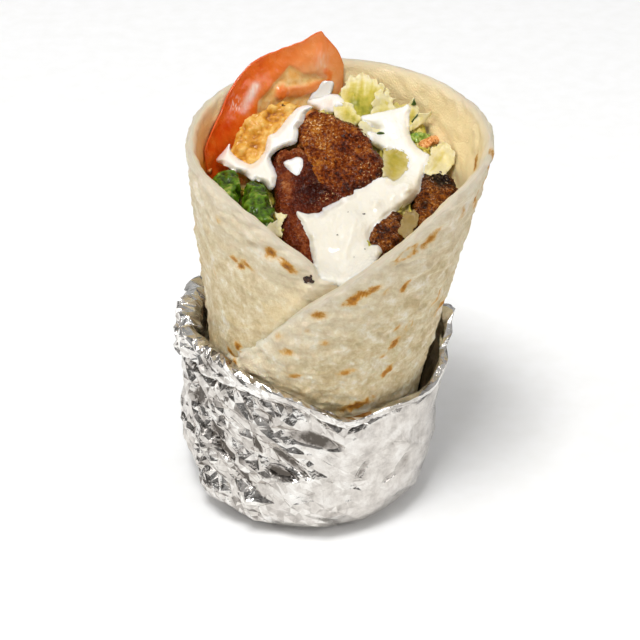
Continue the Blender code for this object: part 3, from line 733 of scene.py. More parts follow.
# Painted reflection: the foil's colour stands in for what it mirrors. It is darker than bare aluminium and
# varies facet by facet, in streaks, along the hem and in the dents.
each = add("Attribute", attribute_name="facet_reflection").outputs["Fac"]
shade = add("SeparateXYZ", (add("Attribute", attribute_name="shade").outputs["Vector"],))
panel = add("Math", (each, shade.outputs["Y"]), operation="MULTIPLY")
panel = add("Math", (panel, shade.outputs["X"]), operation="SUBTRACT")
streaks = add("TexNoise", {"Vector": coord, "Scale": 150.0, "Detail": 4.0, "Roughness": 0.7})
uneven = add("Math", (panel, 0.35, streaks), operation="MULTIPLY_ADD")
metal = add(
    "ValToRGB", (uneven,),
    stops=((0.08, "#5c5650"), (0.30, "#b2aca6"), (0.52, "#d6d1cb"), (0.80, "#f4f2ee")),
)
both = add("Math", (wrinkle, 0.5, soft), operation="MULTIPLY_ADD")
finish_face(add, shader, metal, both, strength=0.5, depth=0.0007)
foil = plain_mesh("foil_wrapping", place, triangles, aluminium)
crush_here = [crushed(a, b) for a, b in zip(su, sv)]
add_marks(foil, "shade", [*reflection_shade, 0, 0], [*crush_here, 0, 0], np.zeros(len(place)), kind="FLOAT_VECTOR")
SHARP_CREASE = 12  # degrees of bend from which a crease shows as a sharp line
body = bmesh.new()
body.from_mesh(foil.data)
bmesh.ops.remove_doubles(body, verts=body.verts[:], dist=0.00002)
bmesh.ops.recalc_face_normals(body, faces=body.faces[:])
body.to_mesh(foil.data)
body.free()
foil.data.set_sharp_from_angle(angle=math.radians(SHARP_CREASE))
# Painted reflection: each facet is painted a little brighter or darker than the next, by which way it faces,
# and the foil at the left is painted darker.
facet_reflection = foil.data.attributes.new("facet_reflection", "FLOAT", "FACE")
facing = np.round(np.array([tuple(face.normal) for face in foil.data.polygons]) * 7)
facet = np.sin(facing @ np.array([12.9, 78.2, 37.7])) * 43758.5
centre_x, centre_y, _ = np.array([tuple(face.center) for face in foil.data.polygons]).T
shaded = ease(0.01, -0.04, centre_x) * ease(0.02, 0, centre_y)  # the left reflects a darker room
facet_reflection.data.foreach_set("value", (1.6 * (facet - np.floor(facet)) - 0.8 - 0.2 * shaded).astype(np.float32))
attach(foil, "root")
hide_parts("foil_sleeve")

# ------------------------------------------------------------
# The salad's core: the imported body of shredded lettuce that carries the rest. Only its top shows,
# between the loose leaves, as creased pale leaf edges with shade in the folds.


def worked_copy(name, node, finish, grid, smoothing):
    """A fine even mesh of a CAD piece with its corners rounded off, for detail to be worked in."""
    obj = bpy.data.objects.new(name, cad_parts[node].data.copy())
    bpy.context.scene.collection.objects.link(obj)
    joined = obj.modifiers.new("joined", "WELD")
    joined.merge_threshold = 0.00001
    even = obj.modifiers.new("even", "REMESH")
    even.mode, even.voxel_size = "VOXEL", grid
    rounded = obj.modifiers.new("rounded", "SMOOTH")
    rounded.factor, rounded.iterations = 0.5, smoothing
    bpy.context.view_layer.update()
    graph = bpy.context.evaluated_depsgraph_get()
    mesh = bpy.data.meshes.new_from_object(obj.evaluated_get(graph))
    obj.modifiers.clear()
    obj.data = mesh
    mesh.name = name
    mesh.materials.clear()
    mesh.materials.append(finish)
    mesh.shade_smooth()
    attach(obj, "root")
    return obj


def surface(obj):
    """The points and the outward normals of an object's mesh."""
    mesh = obj.data
    points, normals = (np.empty(3 * len(mesh.vertices), np.float32) for _ in range(2))
    mesh.vertices.foreach_get("co", points)
    mesh.vertices.foreach_get("normal", normals)
    return (values.reshape(-1, 3).astype(float) for values in (points, normals))


def reshape(obj, points):
    obj.data.vertices.foreach_set("co", np.asarray(points, np.float32).ravel())
    obj.data.update()


def inner_wall(turn, height):
    """Radius of the rolled tortilla's inner side, at each turn."""
    beside_flap = INNER_FLAP_END - 360 + 10
    turn = np.asarray(turn) % 360
    beside = 1 - (1 - layer_share(90)) * (turn - beside_flap) / (90 - beside_flap)
    share = np.where(turn < 90, beside, layer_share(turn))
    share = np.where((turn >= INNER_LAYER_FROM) | (turn <= beside_flap), 1, share)
    return outer_radius(height) - SHEET_THICKNESS - LAYER_PITCH * share


def keep_inside(points, gap):
    """Draws points in, so that they stay this far from the tortilla's inner side."""
    x = points[..., 0] - axis_x(points[..., 2])
    y = points[..., 1]
    far = np.hypot(x, y)
    room = inner_wall(np.degrees(np.arctan2(x, -y)), points[..., 2]) - gap
    share = np.minimum(room / np.maximum(far, 1e-6), 1)
    out = points.copy()
    out[..., 0] += x * (share - 1)
    out[..., 1] += y * (share - 1)
    return out


lettuce, add, shader = new_finish(
    "iceberg_lettuce_fresh_cut", Roughness=0.38, IOR=1.38, Subsurface_Weight=0.35,
    Subsurface_Scale=0.0012, Subsurface_Radius=(1.0, 0.9, 0.35),
)
# Crisp wet leaf: yellow-white at the rib and yellow-green at the frill, satin and translucent.
coord = add("TexCoord").outputs["Object"]
tone_of = add("SeparateColor", (add("Attribute", attribute_name="tone"),))
veins = add("TexNoise", {"Vector": coord, "Scale": 420.0, "Detail": 3.0, "Roughness": 0.6})
mixed = add("Math", (veins, 0.45, tone_of.outputs["Red"]), operation="MULTIPLY_ADD")
leaf = add(
    "ValToRGB", (mixed,),
    stops=((0.18, "#e6dbb2"), (0.38, "#dccd84"), (0.58, "#c5b44c"), (0.78, "#a09a2e"), (0.98, "#66701b")),
)
# Painted shade: the second channel of the tone marks darkens the leaf towards a dark olive where it lies in
# shade.
shaded = add("Mix", {"Factor": tone_of.outputs["Green"], 6: leaf, 7: "#7a5a08"}, data_type="RGBA")
finish_face(add, shader, shaded, veins, strength=0.35, depth=0.0004)

core = worked_copy("lettuce_core", "lettuce_filling", lettuce, grid=1.15 * MM, smoothing=4)
points, normals = surface(core)
top = ease(88 * MM, 100 * MM, points[:, 2])
folds = ridges(points, np.array([6.5, 6.5, 9]) * MM, 5)
crisp = rough(points, 2.2 * MM, 15)
sink = 1.9 * MM - 1.1 * MM * folds - 0.35 * MM * crisp
points -= normals * (top * np.maximum(sink, -0.2 * MM))[:, None]
reshape(core, keep_inside(points, 0.5 * MM))
# Painted shade: the core's folds are painted darker and greener than its crests.
fold_tone = np.clip(0.34 - 0.22 * folds + 0.1 * crisp, 0, 0.9)
add_marks(core, "tone", fold_tone, np.clip(0.45 - 0.6 * folds, 0, 0.75))
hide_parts("lettuce_filling")

# ------------------------------------------------------------
# The meat: strips of marinated chicken, seared until their face is a fine brown grain with
# beads of hot fat on it, whose glints are painted highlights, and nearly black along the edges
# that touched the plate.


def seared_finish(name, dark, brown, bright, fat, gloss, contrast):
    """Seared meat in these tones: fat is its palest grain, gloss its least roughness, and contrast
    how far its tones spread. The grain is 1 mm, in lumps of 4 mm, as in the seared strips."""
    material, add, shader = new_finish(name, IOR=1.4, Specular_IOR_Level=0.1, Coat_Roughness=0.1)
    coord = add("TexCoord").outputs["Object"]
    sear_of = add("SeparateColor", (add("Attribute", attribute_name="sear"),))
    wide = add("TexNoise", {"Vector": coord, "Scale": 240.0, "Detail": 3.0, "Roughness": 0.6})
    grain = add("TexNoise", {"Vector": coord, "Scale": 1000.0, "Detail": 2.5, "Roughness": 0.6})
    both = add("Mix", {"Factor": 0.52, "A": wide, "B": grain})
    even = add("Math", (both, contrast, 0.5 * (1 - contrast)), operation="MULTIPLY_ADD")
    raised = add("Math", (sear_of.outputs["Blue"], 0.13, even), operation="MULTIPLY_ADD")
    tones = add("ValToRGB", (raised,), stops=((0.41, dark), (0.49, brown), (0.56, bright), (0.66, fat)))
    # Charred places go nearly black, grain by grain.
    burnt = add("Math", (grain, 0.7, sear_of.outputs["Red"]), operation="MULTIPLY_ADD")
    charred = add("MapRange", (burnt, 0.7, 1.2), interpolation_type="SMOOTHSTEP")
    mixed = add("Mix", {"Factor": charred, 6: tones, 7: "#180a05"}, data_type="RGBA")
    # Hot fat stands on the crests in clustered beads; their glints are painted highlights, pale threads drawn
    # into the colour in clusters.
    beads = add("TexNoise", {"Vector": coord, "Scale": 1100.0, "Detail": 1.0, "Roughness": 0.5})
    crests = add("Math", (beads, 0.53, 0.085), operation="COMPARE")
    thread = add("TexNoise", {"Vector": coord, "Scale": 1500.0, "Detail": 0.0})
    broken = add("MapRange", (thread, 0.60, 0.72, 0.0, 1.0))
    painted_glints = add("Math", (crests, broken), operation="MULTIPLY")
    clustered = add("MapRange", (wide, 0.42, 0.60, 0.0, 1.4))
    for share in (sear_of.outputs["Green"], clustered):
        painted_glints = add("Math", (painted_glints, share), operation="MULTIPLY")
    glinted = add("Mix", {"Factor": painted_glints, 6: mixed, 7: "#f0c890"}, data_type="RGBA")
    feed(shader, {"Coat Weight": add("MapRange", (beads, 0.52, 0.68, 0.04, 0.9))})
    rough_face = add("Math", (beads, 0.8, grain), operation="MULTIPLY_ADD")
    lumpy = add("Math", (wide, 2.2, rough_face), operation="MULTIPLY_ADD")
    shine = (grain, gloss, gloss + 0.22)
    bump = finish_face(add, shader, glinted, lumpy, strength=1.0, depth=0.0009, gloss=shine)
    feed(shader, {"Coat Normal": bump})
    return material


seared_meat = seared_finish("chicken_seared", "#300d02", "#5e2203", "#843c05", "#b46f22", 0.2, 0.85)
dark_meat = seared_finish("chicken_charred", "#2a0e02", "#5c2a08", "#85480f", "#b07430", 0.24, 0.85)
glazed_meat = seared_finish("chicken_glazed", "#340d04", "#561d08", "#7a3612", "#a9683a", 0.14, 0.5)
# Each piece: its finish and slot, depths of its lumps and its grain in mm, how dark it is at
# the sides, and dark places (x, y, radius, strength) in mm.
MEATS = {
    "meat_slab": (
        "seared_chicken_slab", seared_meat, "seared_meat", 0.75, 0.34, 0.55,
        ((24, 8, 6, 0.45), (26, -1, 5, 0.5), (14, -9, 7, 0.4), (2, -13, 6, 0.35), (22, 14, 4, 0.35)),
    ),
    "meat_glazed": (
        "glazed_chicken_strip", glazed_meat, "glazed_meat", 0.6, 0.12, 0.15,
        ((-9, 12, 3.5, 0.5), (-4, -12, 4, 0.3), (0, -34, 4, 0.2)),
    ),
    "meat_front": (
        "seared_chicken_front", dark_meat, "seared_meat", 0.5, 0.3, 0.35,
        ((29, -14, 5, 0.6), (31, -20, 4, 0.4)),
    ),
    "meat_right": (
        "seared_chicken_right", dark_meat, "seared_meat", 0.9, 0.4, 0.35,
        ((42, 5, 7, 0.8), (46, 2, 6, 0.3), (38, -9, 2.5, 0.7)),
    ),
}
SIGHT_UP = Vector((0, math.sin(CAMERA_ELEVATION), math.cos(CAMERA_ELEVATION)))
SIGHT_AHEAD = Vector((0, math.cos(CAMERA_ELEVATION), -math.sin(CAMERA_ELEVATION)))
# Where the slab dips under the glazed meat, in mm right and up as the camera sees it.
GLAZED_LINE = (
    (-7.4, 63.5), (-5.6, 59.5), (-4.9, 56.7), (-3.9, 54.6), (-2.8, 51.8), (-1.4, 49.2), (0.7, 47.4),
    (3.5, 45.9), (6.3, 44.6), (9.1, 42.9), (11.2, 40.9),
)
GLAZED_SIDE = (*GLAZED_LINE, (11, 20), (-22, 20), (-22, 63.5))


def seen(points):
    """Where the camera sees each point: mm right and up of its middle line."""
    away = points - np.array(camera.location)
    scale = CAMERA_DISTANCE / MM / (away @ np.array(SIGHT_AHEAD))
    return away[:, 0] * scale, away @ np.array(SIGHT_UP) * scale


def sight_rays(points):
    away = points - np.array(camera.location)
    return away / np.linalg.norm(away, axis=1, keepdims=True)


def inside_loop(x, y, loop):
    """True where a place lies within the closed outline through these corners."""
    within = np.zeros(np.shape(x), bool)
    for (ax, ay), (bx, by) in zip(loop, loop[1:] + loop[:1]):
        crosses = (ay > y) != (by > y)
        at = (bx - ax) * (y - ay) / ((by - ay) or 1e-9) + ax
        within ^= crosses & (x < at)
    return within


for node, (name, finish, slot, lump, grain, side_dark, places) in MEATS.items():
    meat = worked_copy(name, node, finish, grid=0.5 * MM, smoothing=5)
    points, normals = surface(meat)
    lumps = rough(points, 7 * MM, 31) + 0.8 * rough(points, 3.4 * MM, 37)
    fibres = 0.5 * ridges(points, np.array([2.6, 1.5, 1.8]) * MM, 17) + rough(points, 1.25 * MM, 3)
    swell = lump * lumps + grain * fibres - 0.15
    points += normals * np.minimum(swell, 1.1)[:, None] * MM
    reshape(meat, keep_inside(points, 0.15 * MM))
    sear = side_dark * (1 - ease(0.25, 0.8, normals[:, 2])) - 0.12 * fibres
    for x, y, spread, power in places:
        sear += power * bell(np.hypot(points[:, 0] - x * MM, points[:, 1] - y * MM) / (spread * MM))
    sear = np.clip(sear, 0, 1)
    # The glints mark says how thickly the painted glints lie: evenly on the seared pieces, and bunched at the
    # slab's upper left and lower right.
    pale, glints = 0 * sear, 0.3 * (slot == "seared_meat") + 0 * sear
    if node == "meat_slab":
        su, sv = seen(points)
        pale = 0.55 * bell((su - 1) / 8, (sv - 66) / 9) + 0.7 * bell((su + 2) / 3.5, (sv - 53) / 4.5)
        glints = 0.22 + 0.6 * bell((su + 1) / 10, (sv - 69) / 9) + 0.5 * bell((su - 16) / 5, (sv - 51) / 5)
        sear = np.clip(0.7 * sear + 0.2 * ease(4, 22, su) + 0.1 * ease(62, 46, sv), 0, 1)
        low = np.where(inside_loop(su, sv, GLAZED_SIDE), 1, -1) * near_line(su, sv, GLAZED_LINE)
        points = points + sight_rays(points) * (2.8 * MM * ease(-0.3, 1.0, low))[:, None]
        reshape(meat, points)
    add_marks(meat, "sear", sear, glints, pale)
    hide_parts(node)

# ------------------------------------------------------------
# The fried piece: a strip in a thin batter that fried to a golden knobbly crust, paler on its
# knobs and toffee brown in its cracks: partly its own browning, partly painted shade in the hollows.

crust, add, shader = new_finish(
    "batter_fried_golden", IOR=1.45, Specular_IOR_Level=0.3, Coat_Weight=0.25, Coat_Roughness=0.12,
    Subsurface_Weight=0.1, Subsurface_Scale=0.001,
)
coord = add("TexCoord").outputs["Object"]
crisp_and_shade_of = add("SeparateColor", (add("Attribute", attribute_name="crisp"),))
# Crisp dry batter with a film of oil: golden on its knobs, toffee brown in its cracks (partly painted shade).
speck = add("TexNoise", {"Vector": coord, "Scale": 700.0, "Detail": 4.0, "Roughness": 0.65})
height = add("Math", (speck, 0.6, crisp_and_shade_of.outputs["Red"]), operation="MULTIPLY_ADD")
golden = add(
    "ValToRGB", (height,),
    stops=((0.30, "#8a4a08"), (0.46, "#c07c16"), (0.62, "#d6962f"), (0.86, "#e8bc68")),
)
finish_face(add, shader, golden, speck, strength=0.5, depth=0.0005, gloss=(speck, 0.34, 0.55))

fried = worked_copy("golden_fried_strip", "fried_piece", crust, grid=0.45 * MM, smoothing=5)
points, normals = surface(fried)
knobs = rough(points, 4.4 * MM, 51) + 0.7 * rough(points, 2.4 * MM, 57)
cracks = ease(0.72, 1.0, 1 - np.abs(rough(points, 5.5 * MM, 61)) * 2.2)
crumbs = np.abs(rough(points, 1.1 * MM, 67)) + 0.7 * rough(points, 1.7 * MM, 69)
points += normals * (1.25 * knobs - 0.3 * cracks + 0.5 * crumbs - 0.2)[:, None] * MM
reshape(fried, keep_inside(points, 0.15 * MM))
# Partly painted shade: the tone follows the relief, paler on the knobs and darker in the cracks.
crisp = np.clip(0.40 + 0.3 * knobs - 0.12 * cracks + 0.22 * (crumbs - 0.25), 0, 1)
add_marks(fried, "crisp", crisp)
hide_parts("fried_piece")

# ------------------------------------------------------------
# The green pieces: dark fresh green, tightly wrinkled and wet, folded into the salad at the left
# edge. They are light green on the crests and deep green in the hollows, partly painted light and shade.

green, add, shader = new_finish(
    "green_fresh_wrinkled", Roughness=0.34, IOR=1.4, Specular_IOR_Level=0.35, Coat_Weight=0.2,
    Coat_Roughness=0.1, Subsurface_Weight=0.15, Subsurface_Scale=0.0008, Subsurface_Radius=(0.5, 1.0, 0.2),
)
coord = add("TexCoord").outputs["Object"]
crest_of = add("SeparateColor", (add("Attribute", attribute_name="crest"),))
# Wet waxy skin with a soft wet shine: light green on its crests, deep green in its hollows, partly
# painted highlight and painted shade.
cells = add("TexNoise", {"Vector": coord, "Scale": 600.0, "Detail": 3.0, "Roughness": 0.6})
height = add("Math", (cells, 0.5, crest_of.outputs["Red"]), operation="MULTIPLY_ADD")
leafy = add(
    "ValToRGB", (height,),
    stops=((0.25, "#1a2402"), (0.48, "#3a5205"), (0.68, "#557a0c"), (0.94, "#b4b85c")),
)
finish_face(add, shader, leafy, cells, strength=0.5, depth=0.0005)
for side in ("left", "right"):
    pepper = worked_copy(f"green_piece_{side}", f"green_pepper_{side}", green, grid=0.45 * MM, smoothing=4)
    points, normals = surface(pepper)
    wrinkles = 0.5 * ridges(points, np.array([3.0, 4.0, 5.0]) * MM, 71) + 0.9 * rough(points, 3.6 * MM, 73)
    small = 0.6 * ridges(points, 1.5 * MM, 77) + rough(points, 1.4 * MM, 79)
    points += normals * (0.75 * wrinkles + 0.34 * small - 0.1)[:, None] * MM
    reshape(pepper, keep_inside(points, 0.15 * MM))
    # The crest mark follows the wrinkles: paler on crests and darker in hollows, partly painted light and
    # shade.
    add_marks(pepper, "crest", np.clip(0.26 + 0.2 * wrinkles + 0.16 * small, 0, 1))
    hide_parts(f"green_pepper_{side}")

# ------------------------------------------------------------
# The tomato: a thick slice standing against the wall. Its firm flesh runs round the edge, and
# nearer the middle it opens into a pale jelly with a rib of flesh that ends in a seed.

TOMATO_BOTTOM = 98 * MM
TOMATO_TURNS = (176, 256)
TOMATO_THICKNESS = 6 * MM
TOMATO_UPPER_EDGE = in_mm(
    (176, 142), (178, 146.5), (181.5, 150.6), (184, 153), (185.6, 154.9), (187, 154.6), (192, 152.4),
    (200, 150.4), (208, 149.4), (217, 147.8), (224, 144.8), (231, 140.7), (238.5, 134.5), (256, 127),
)
WALL_FOLLOWED_UP_TO = 136 * MM
# On the slice's face, (turn, height): the jelly, the rib of flesh in it and the red ring.
JELLY = (
    (184, 138), (188.5, 140.5), (194, 141), (200.5, 144), (206, 141.5), (212, 138), (219, 135.5), (221, 131),
    (217, 127), (205, 126), (192, 127), (184, 130), (181.5, 134),
)
RIB = ((207, 135.6), (203, 135.6), (196, 134.6), (189.5, 135.6), (184, 136.5))
RED_RING = ((184.5, 141.5), (182, 139.8), (182.5, 137.5), (184.5, 136.5))


def slice_place(turn, height, inward):
    on_wall = np.minimum(height, WALL_FOLLOWED_UP_TO)
    radius = inner_wall(turn, on_wall) - 0.6 * MM - inward
    return around(turn, radius, height, axis_x(on_wall))


turns = np.linspace(*TOMATO_TURNS, 150)
uneven_tops = np.array([noise.noise(Vector((t / 4, 3, 1))) for t in turns])
tops = smooth(TOMATO_UPPER_EDGE, turns) + 0.35 * MM * uneven_tops
ends = np.sin(np.pi * np.clip((turns - 176) / 80, 0.012, 0.988)) ** 0.35
thick = TOMATO_THICKNESS * ends
rows = []  # height, inward, which side: -1 the skin, 1 the cut face
for share in np.linspace(0, 1, 22):
    rows.append((TOMATO_BOTTOM + share * (tops - 0.5 * MM - TOMATO_BOTTOM), 0 * thick, -1 + 0 * turns))
for angle in (0.25, 0.5, 0.75):
    rows.append((
        tops - 0.5 * MM * (1 - math.sin(angle * math.pi)),
        0.9 * MM * ends * (0.5 - 0.5 * math.cos(angle * math.pi)), 0.9 - 0.6 * (angle < 0.5) + 0 * turns,
    ))
for share in np.linspace(0, 1, 84) ** 1.15:
    down = share * (tops - 0.5 * MM - TOMATO_BOTTOM)
    bevel = 0.9 * MM + (thick / ends - 0.9 * MM) * ease(0, 15 * MM, down) ** 0.8
    rows.append((tops - 0.5 * MM - down, bevel * ends, 1 + 0 * turns))
height, inward, face = (np.stack(column, 1) for column in zip(*rows))
turn = np.broadcast_to(turns[:, None], height.shape)
FACE_PER_DEGREE = 0.72  # the face laid out flat, in mm
fu, fv = turn * FACE_PER_DEGREE, height / MM
laid = flat(fu, fv)
fu_wavy, fv_wavy = fu + 0.8 * rough(laid, 5, 31), fv + 0.8 * rough(laid, 5, 57)
loop = [(t * FACE_PER_DEGREE, z) for t, z in JELLY]
rim = near_line(fu_wavy, fv_wavy, loop + loop[:1])
in_jelly = np.where(inside_loop(fu_wavy, fv_wavy, loop), rim, -rim)
rib, ring = (
    near_line(fu_wavy, fv_wavy, [(t * FACE_PER_DEGREE, z) for t, z in line]) for line in (RIB, RED_RING)
)
seed = np.hypot(fu - 206 * FACE_PER_DEGREE, fv - 135.8)
raised = np.maximum(np.exp(-((rib / 1.9) ** 6)), np.exp(-((seed / 2.7) ** 8)))
hollow = 1.1 * ease(-1.0, 2.2, in_jelly) * (1 - 0.9 * raised) - 0.8 * np.exp(-((seed / 2.2) ** 4))
hollow -= 0.35 * bell(ring / 1.1) * (in_jelly < 0.5)
swells = 0.4 * rough(laid, 6.5, 81) + 0.16 * rough(laid, 2.0, 83) + 0.05 * rough(laid, 0.9, 85)
push = np.where(face > 0.95, swells - hollow, 0.2 * swells)
place = slice_place(turn, height, inward + push * MM * np.minimum(inward / (2 * MM), 1))

tomato_flesh, add, shader = new_finish(
    "tomato_ripe_cut", IOR=1.36, Subsurface_Weight=0.35, Subsurface_Scale=0.002,
    Subsurface_Radius=(1.0, 0.4, 0.2), Coat_Weight=0.35, Coat_Roughness=0.08,
)
# Wet translucent flesh: orange-red low at the left, salmon at the peak, straw-coloured jelly.
zones = add("Attribute", attribute_name="zones")
zone = add("SeparateColor", (zones,))
coord = add("TexCoord").outputs["Object"]
fibre = add("TexNoise", {"Vector": coord, "Scale": 330.0, "Detail": 4.0, "Roughness": 0.6})
depth = add("Math", (fibre, 0.28, zone.outputs["Red"]), operation="MULTIPLY_ADD")
flesh = add(
    "ValToRGB", (depth,),
    stops=((0.12, "#d2490a"), (0.36, "#ea7420"), (0.62, "#ed904c"), (0.85, "#eeaa70"), (1.05, "#f2c698")),
)
jelly = add("ValToRGB", (fibre,), stops=((0.35, "#ecae58"), (0.65, "#f8d294")))
with_jelly = add("Mix", {"Factor": zone.outputs["Green"], 6: flesh, 7: jelly}, data_type="RGBA")
with_skin = add("Mix", {"Factor": zone.outputs["Blue"], 6: with_jelly, 7: "#d25a1c"}, data_type="RGBA")
# This mark mixes in a pale pink-white: painted highlights on the band, and pale lines under the peak.
with_sheen_and_streaks = add("Mix", {"Factor": zones.outputs["Alpha"], 6: with_skin, 7: "#fbe6da"}, data_type="RGBA")
finish_face(add, shader, with_sheen_and_streaks, fibre, strength=0.45, depth=0.0005, gloss=(fibre, 0.14, 0.34))
faces = swept_faces(height.shape, turned=True)
tomato = plain_mesh("tomato_slice_cut", place.reshape(-1, 3), faces, tomato_flesh)
from_edge = (tops[:, None] - height) / MM
peak = 1 - ease(190, 214, turn)
depth = 0.16 + 0.30 * peak + 0.16 * ease(2, 12, from_edge) * (1 - ease(215, 250, turn))
depth -= 0.12 * ease(212, 245, turn)
depth = np.clip(depth + 0.12 * rough(laid, 4.0, 91), 0, 1)
depth = np.where(raised * (in_jelly > -1.5) > 0.4, 0.46 - 0.2 * np.exp(-((seed / 2.2) ** 4)), depth)
depth = depth - 0.34 * np.exp(-((ring / 0.9) ** 4))
jelly_share = ease(-0.3, 0.5, in_jelly) * (1 - raised) * (face > 0.95)
skin_share = np.clip(np.maximum((face < 0) * 1.0, 0.7 * bell(from_edge / 0.5)), 0, 1)
# Painted highlights on the wet face: a pale sheen along the band and sparkles beside it, both painted, and
# fine pale lines under the peak.
su, sv = seen(place.reshape(-1, 3))
grain = rough(flat(su, sv), 0.7, 61)
sheen_and_streaks = np.exp(-((near_line(su, sv, [(-22.6, 81.8), (-23.6, 79.8), (-25.0, 77), (-26.6, 73.8)]) / 1.5) ** 2.4))
sheen_and_streaks *= 0.5 + 0.5 * ease(74, 79, sv)
sheen_and_streaks += 0.9 * bell((su + 29.6) / 1.8, (sv - 75.6) / 2.6) * (grain > 0.2)
lines = rough(flat(su * 1.2, sv / 5), 0.6, 65)
sheen_and_streaks += 0.5 * bell((su - 0.6) / 2, (sv - 91) / 4) * np.clip(0.5 + lines, 0, 1)
sheen_and_streaks = np.clip(sheen_and_streaks * (0.85 + 0.4 * grain), 0, 1).reshape(depth.shape) * (face > 0.95)
add_marks(tomato, "zones", depth, jelly_share, skin_share, sheen_and_streaks)
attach(tomato, "root")
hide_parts("tomato_slice")

# ------------------------------------------------------------
# The loose lettuce: cut ribbons with ruffled edges lying over each other on the core, and larger
# leaves laid over them: their outlines are drawn as one looks into the wrap from the camera.

DOWN = Vector((0, 0, -1))
HARD_PIECES = (
    "seared_chicken_slab", "glazed_chicken_strip", "seared_chicken_front", "seared_chicken_right",
    "golden_fried_strip", "green_piece_left", "green_piece_right", "tomato_slice_cut",
)


def hit_tree(*pieces):
    """One search tree for the surfaces of these pieces, each given as itself or by name."""
    points, faces = [], []
    for piece in pieces:
        mesh = (bpy.data.objects[piece] if isinstance(piece, str) else piece).data
        start = len(points)
        points += [vertex.co.copy() for vertex in mesh.vertices]
        faces += [[start + corner for corner in polygon.vertices] for polygon in mesh.polygons]
    return BVHTree.FromPolygons(points, faces)


def height_at(tree, x, y):
    hit = tree.ray_cast(Vector((x, y, 0.3)), DOWN)[0]
    return hit.z if hit else 0


def sights(places):
    """Unit directions from the camera through places (mm right and up of its middle line)."""
    aims = np.array(CAMERA_TARGET) + MM * (places[:, :1] * [1, 0, 0] + places[:, 1:] * np.array(SIGHT_UP))
    rays = aims - np.array(camera.location)
    return rays / np.linalg.norm(rays, axis=1, keepdims=True)


def depths(tree, rays):
    """How far from the camera each ray first meets the tree, with misses filled from their mean."""
    found = [tree.ray_cast(camera.location, Vector(ray)) for ray in rays]
    far = np.array([hit[3] if hit[0] else np.nan for hit in found])
    return np.where(np.isnan(far), np.nanmean(far), far)


def closed_curve(corners, spacing):
    """Points about this far apart on the smooth closed curve through the corners."""
    corners = np.array(corners, float)
    count = len(corners)
    curve = []
    for i in range(count):
        a, b, c, d = (corners[(i + k) % count] for k in (-1, 0, 1, 2))
        steps = max(int(np.linalg.norm(c - b) / spacing), 1)
        for t in np.arange(steps) / steps:
            bend = (2 * a - 5 * b + 4 * c - d) * t**2 + (3 * b - a - 3 * c + d) * t**3
            curve.append(b + 0.5 * ((c - a) * t + bend))
    return np.array(curve)


class Patch:
    """A fine flat net of triangles inside an outline, to be draped over what lies behind it."""

    def __init__(self, outline, spacing, ragged, seed):
        rim = closed_curve(outline, spacing)
        laid = flat(*rim.T)
        wave = [rough(laid, 1.7, seed + k) + 0.5 * rough(laid, 0.7, seed + k + 5) for k in (0, 9)]
        rim = rim + ragged * np.stack(wave, -1)
        draw = np.random.default_rng(seed)
        low, high = rim.min(0), rim.max(0)
        columns = np.arange(low[0], high[0], spacing)
        levels = np.arange(low[1], high[1], spacing)
        spots = np.stack(np.meshgrid(columns, levels), -1).reshape(-1, 2)
        spots = spots + draw.uniform(-0.2, 0.2, spots.shape) * spacing
        corners = [tuple(point) for point in rim]
        gap = near_line(spots[:, 0], spots[:, 1], corners + corners[:1])
        spots = spots[inside_loop(spots[:, 0], spots[:, 1], corners) & (gap > 0.7 * spacing)]
        net = geometry.delaunay_2d_cdt(
            [Vector(point) for point in np.concatenate([rim, spots])], [],
            [list(range(len(rim)))], 1, 1e-6,
        )
        self.flat = np.array([tuple(point) for point in net[0]])
        self.triangles = np.array([list(face) for face in net[2]])
        a, b, c = (self.flat[self.triangles[:, k]] for k in (0, 1, 2))
        turned = (b[:, 0] - a[:, 0]) * (c[:, 1] - a[:, 1]) - (b[:, 1] - a[:, 1]) * (c[:, 0] - a[:, 0]) < 0
        self.triangles[turned] = self.triangles[turned][:, ::-1]
        self.inner = near_line(self.flat[:, 0], self.flat[:, 1], corners + corners[:1])
        self.rays = sights(self.flat)
        self.directed = np.concatenate([self.triangles[:, pair] for pair in ([0, 1], [1, 2], [2, 0])])
        self.pairs = np.unique(np.sort(self.directed, 1), axis=0)

    def relaxed(self, values, limit, rounds):
        """The values evened out like a skin that rests on the limit and never lies behind it."""
        a, b = self.pairs.T
        count = np.bincount(np.concatenate([a, b]), minlength=len(values))
        for _ in range(rounds):
            total = np.bincount(np.concatenate([a, b]), np.concatenate([values[b], values[a]]), len(values))
            values = np.minimum(total / np.maximum(count, 1), limit)
        return values

    def shell(self, front, back):
        """Points and faces that close the space between two distances from the camera."""
        eye = np.array(camera.location)
        points = np.concatenate([eye + self.rays * front[:, None], eye + self.rays * back[:, None]])
        count = len(self.flat)
        known = {tuple(pair) for pair in self.directed.tolist()}
        sides = [(b, a, a + count, b + count) for a, b in known if (b, a) not in known]
        faces = self.triangles.tolist() + (self.triangles[:, ::-1] + count).tolist() + sides
        return points, faces

    def solid(self, name, front, back, finish):
        return plain_mesh(name, *self.shell(front, back), finish)


def leaf_grid(spine, across, widths, thickness):
    """The two sides of a thin leaf: its spine, the offsets across it and its half widths."""
    top = spine[:, None, :] + across * widths[:, None, None]
    normal = np.cross(np.gradient(top, axis=0), np.gradient(top, axis=1))
    normal /= np.linalg.norm(normal, axis=2, keepdims=True) + 1e-9
    return top + normal * thickness / 2, top - normal * thickness / 2


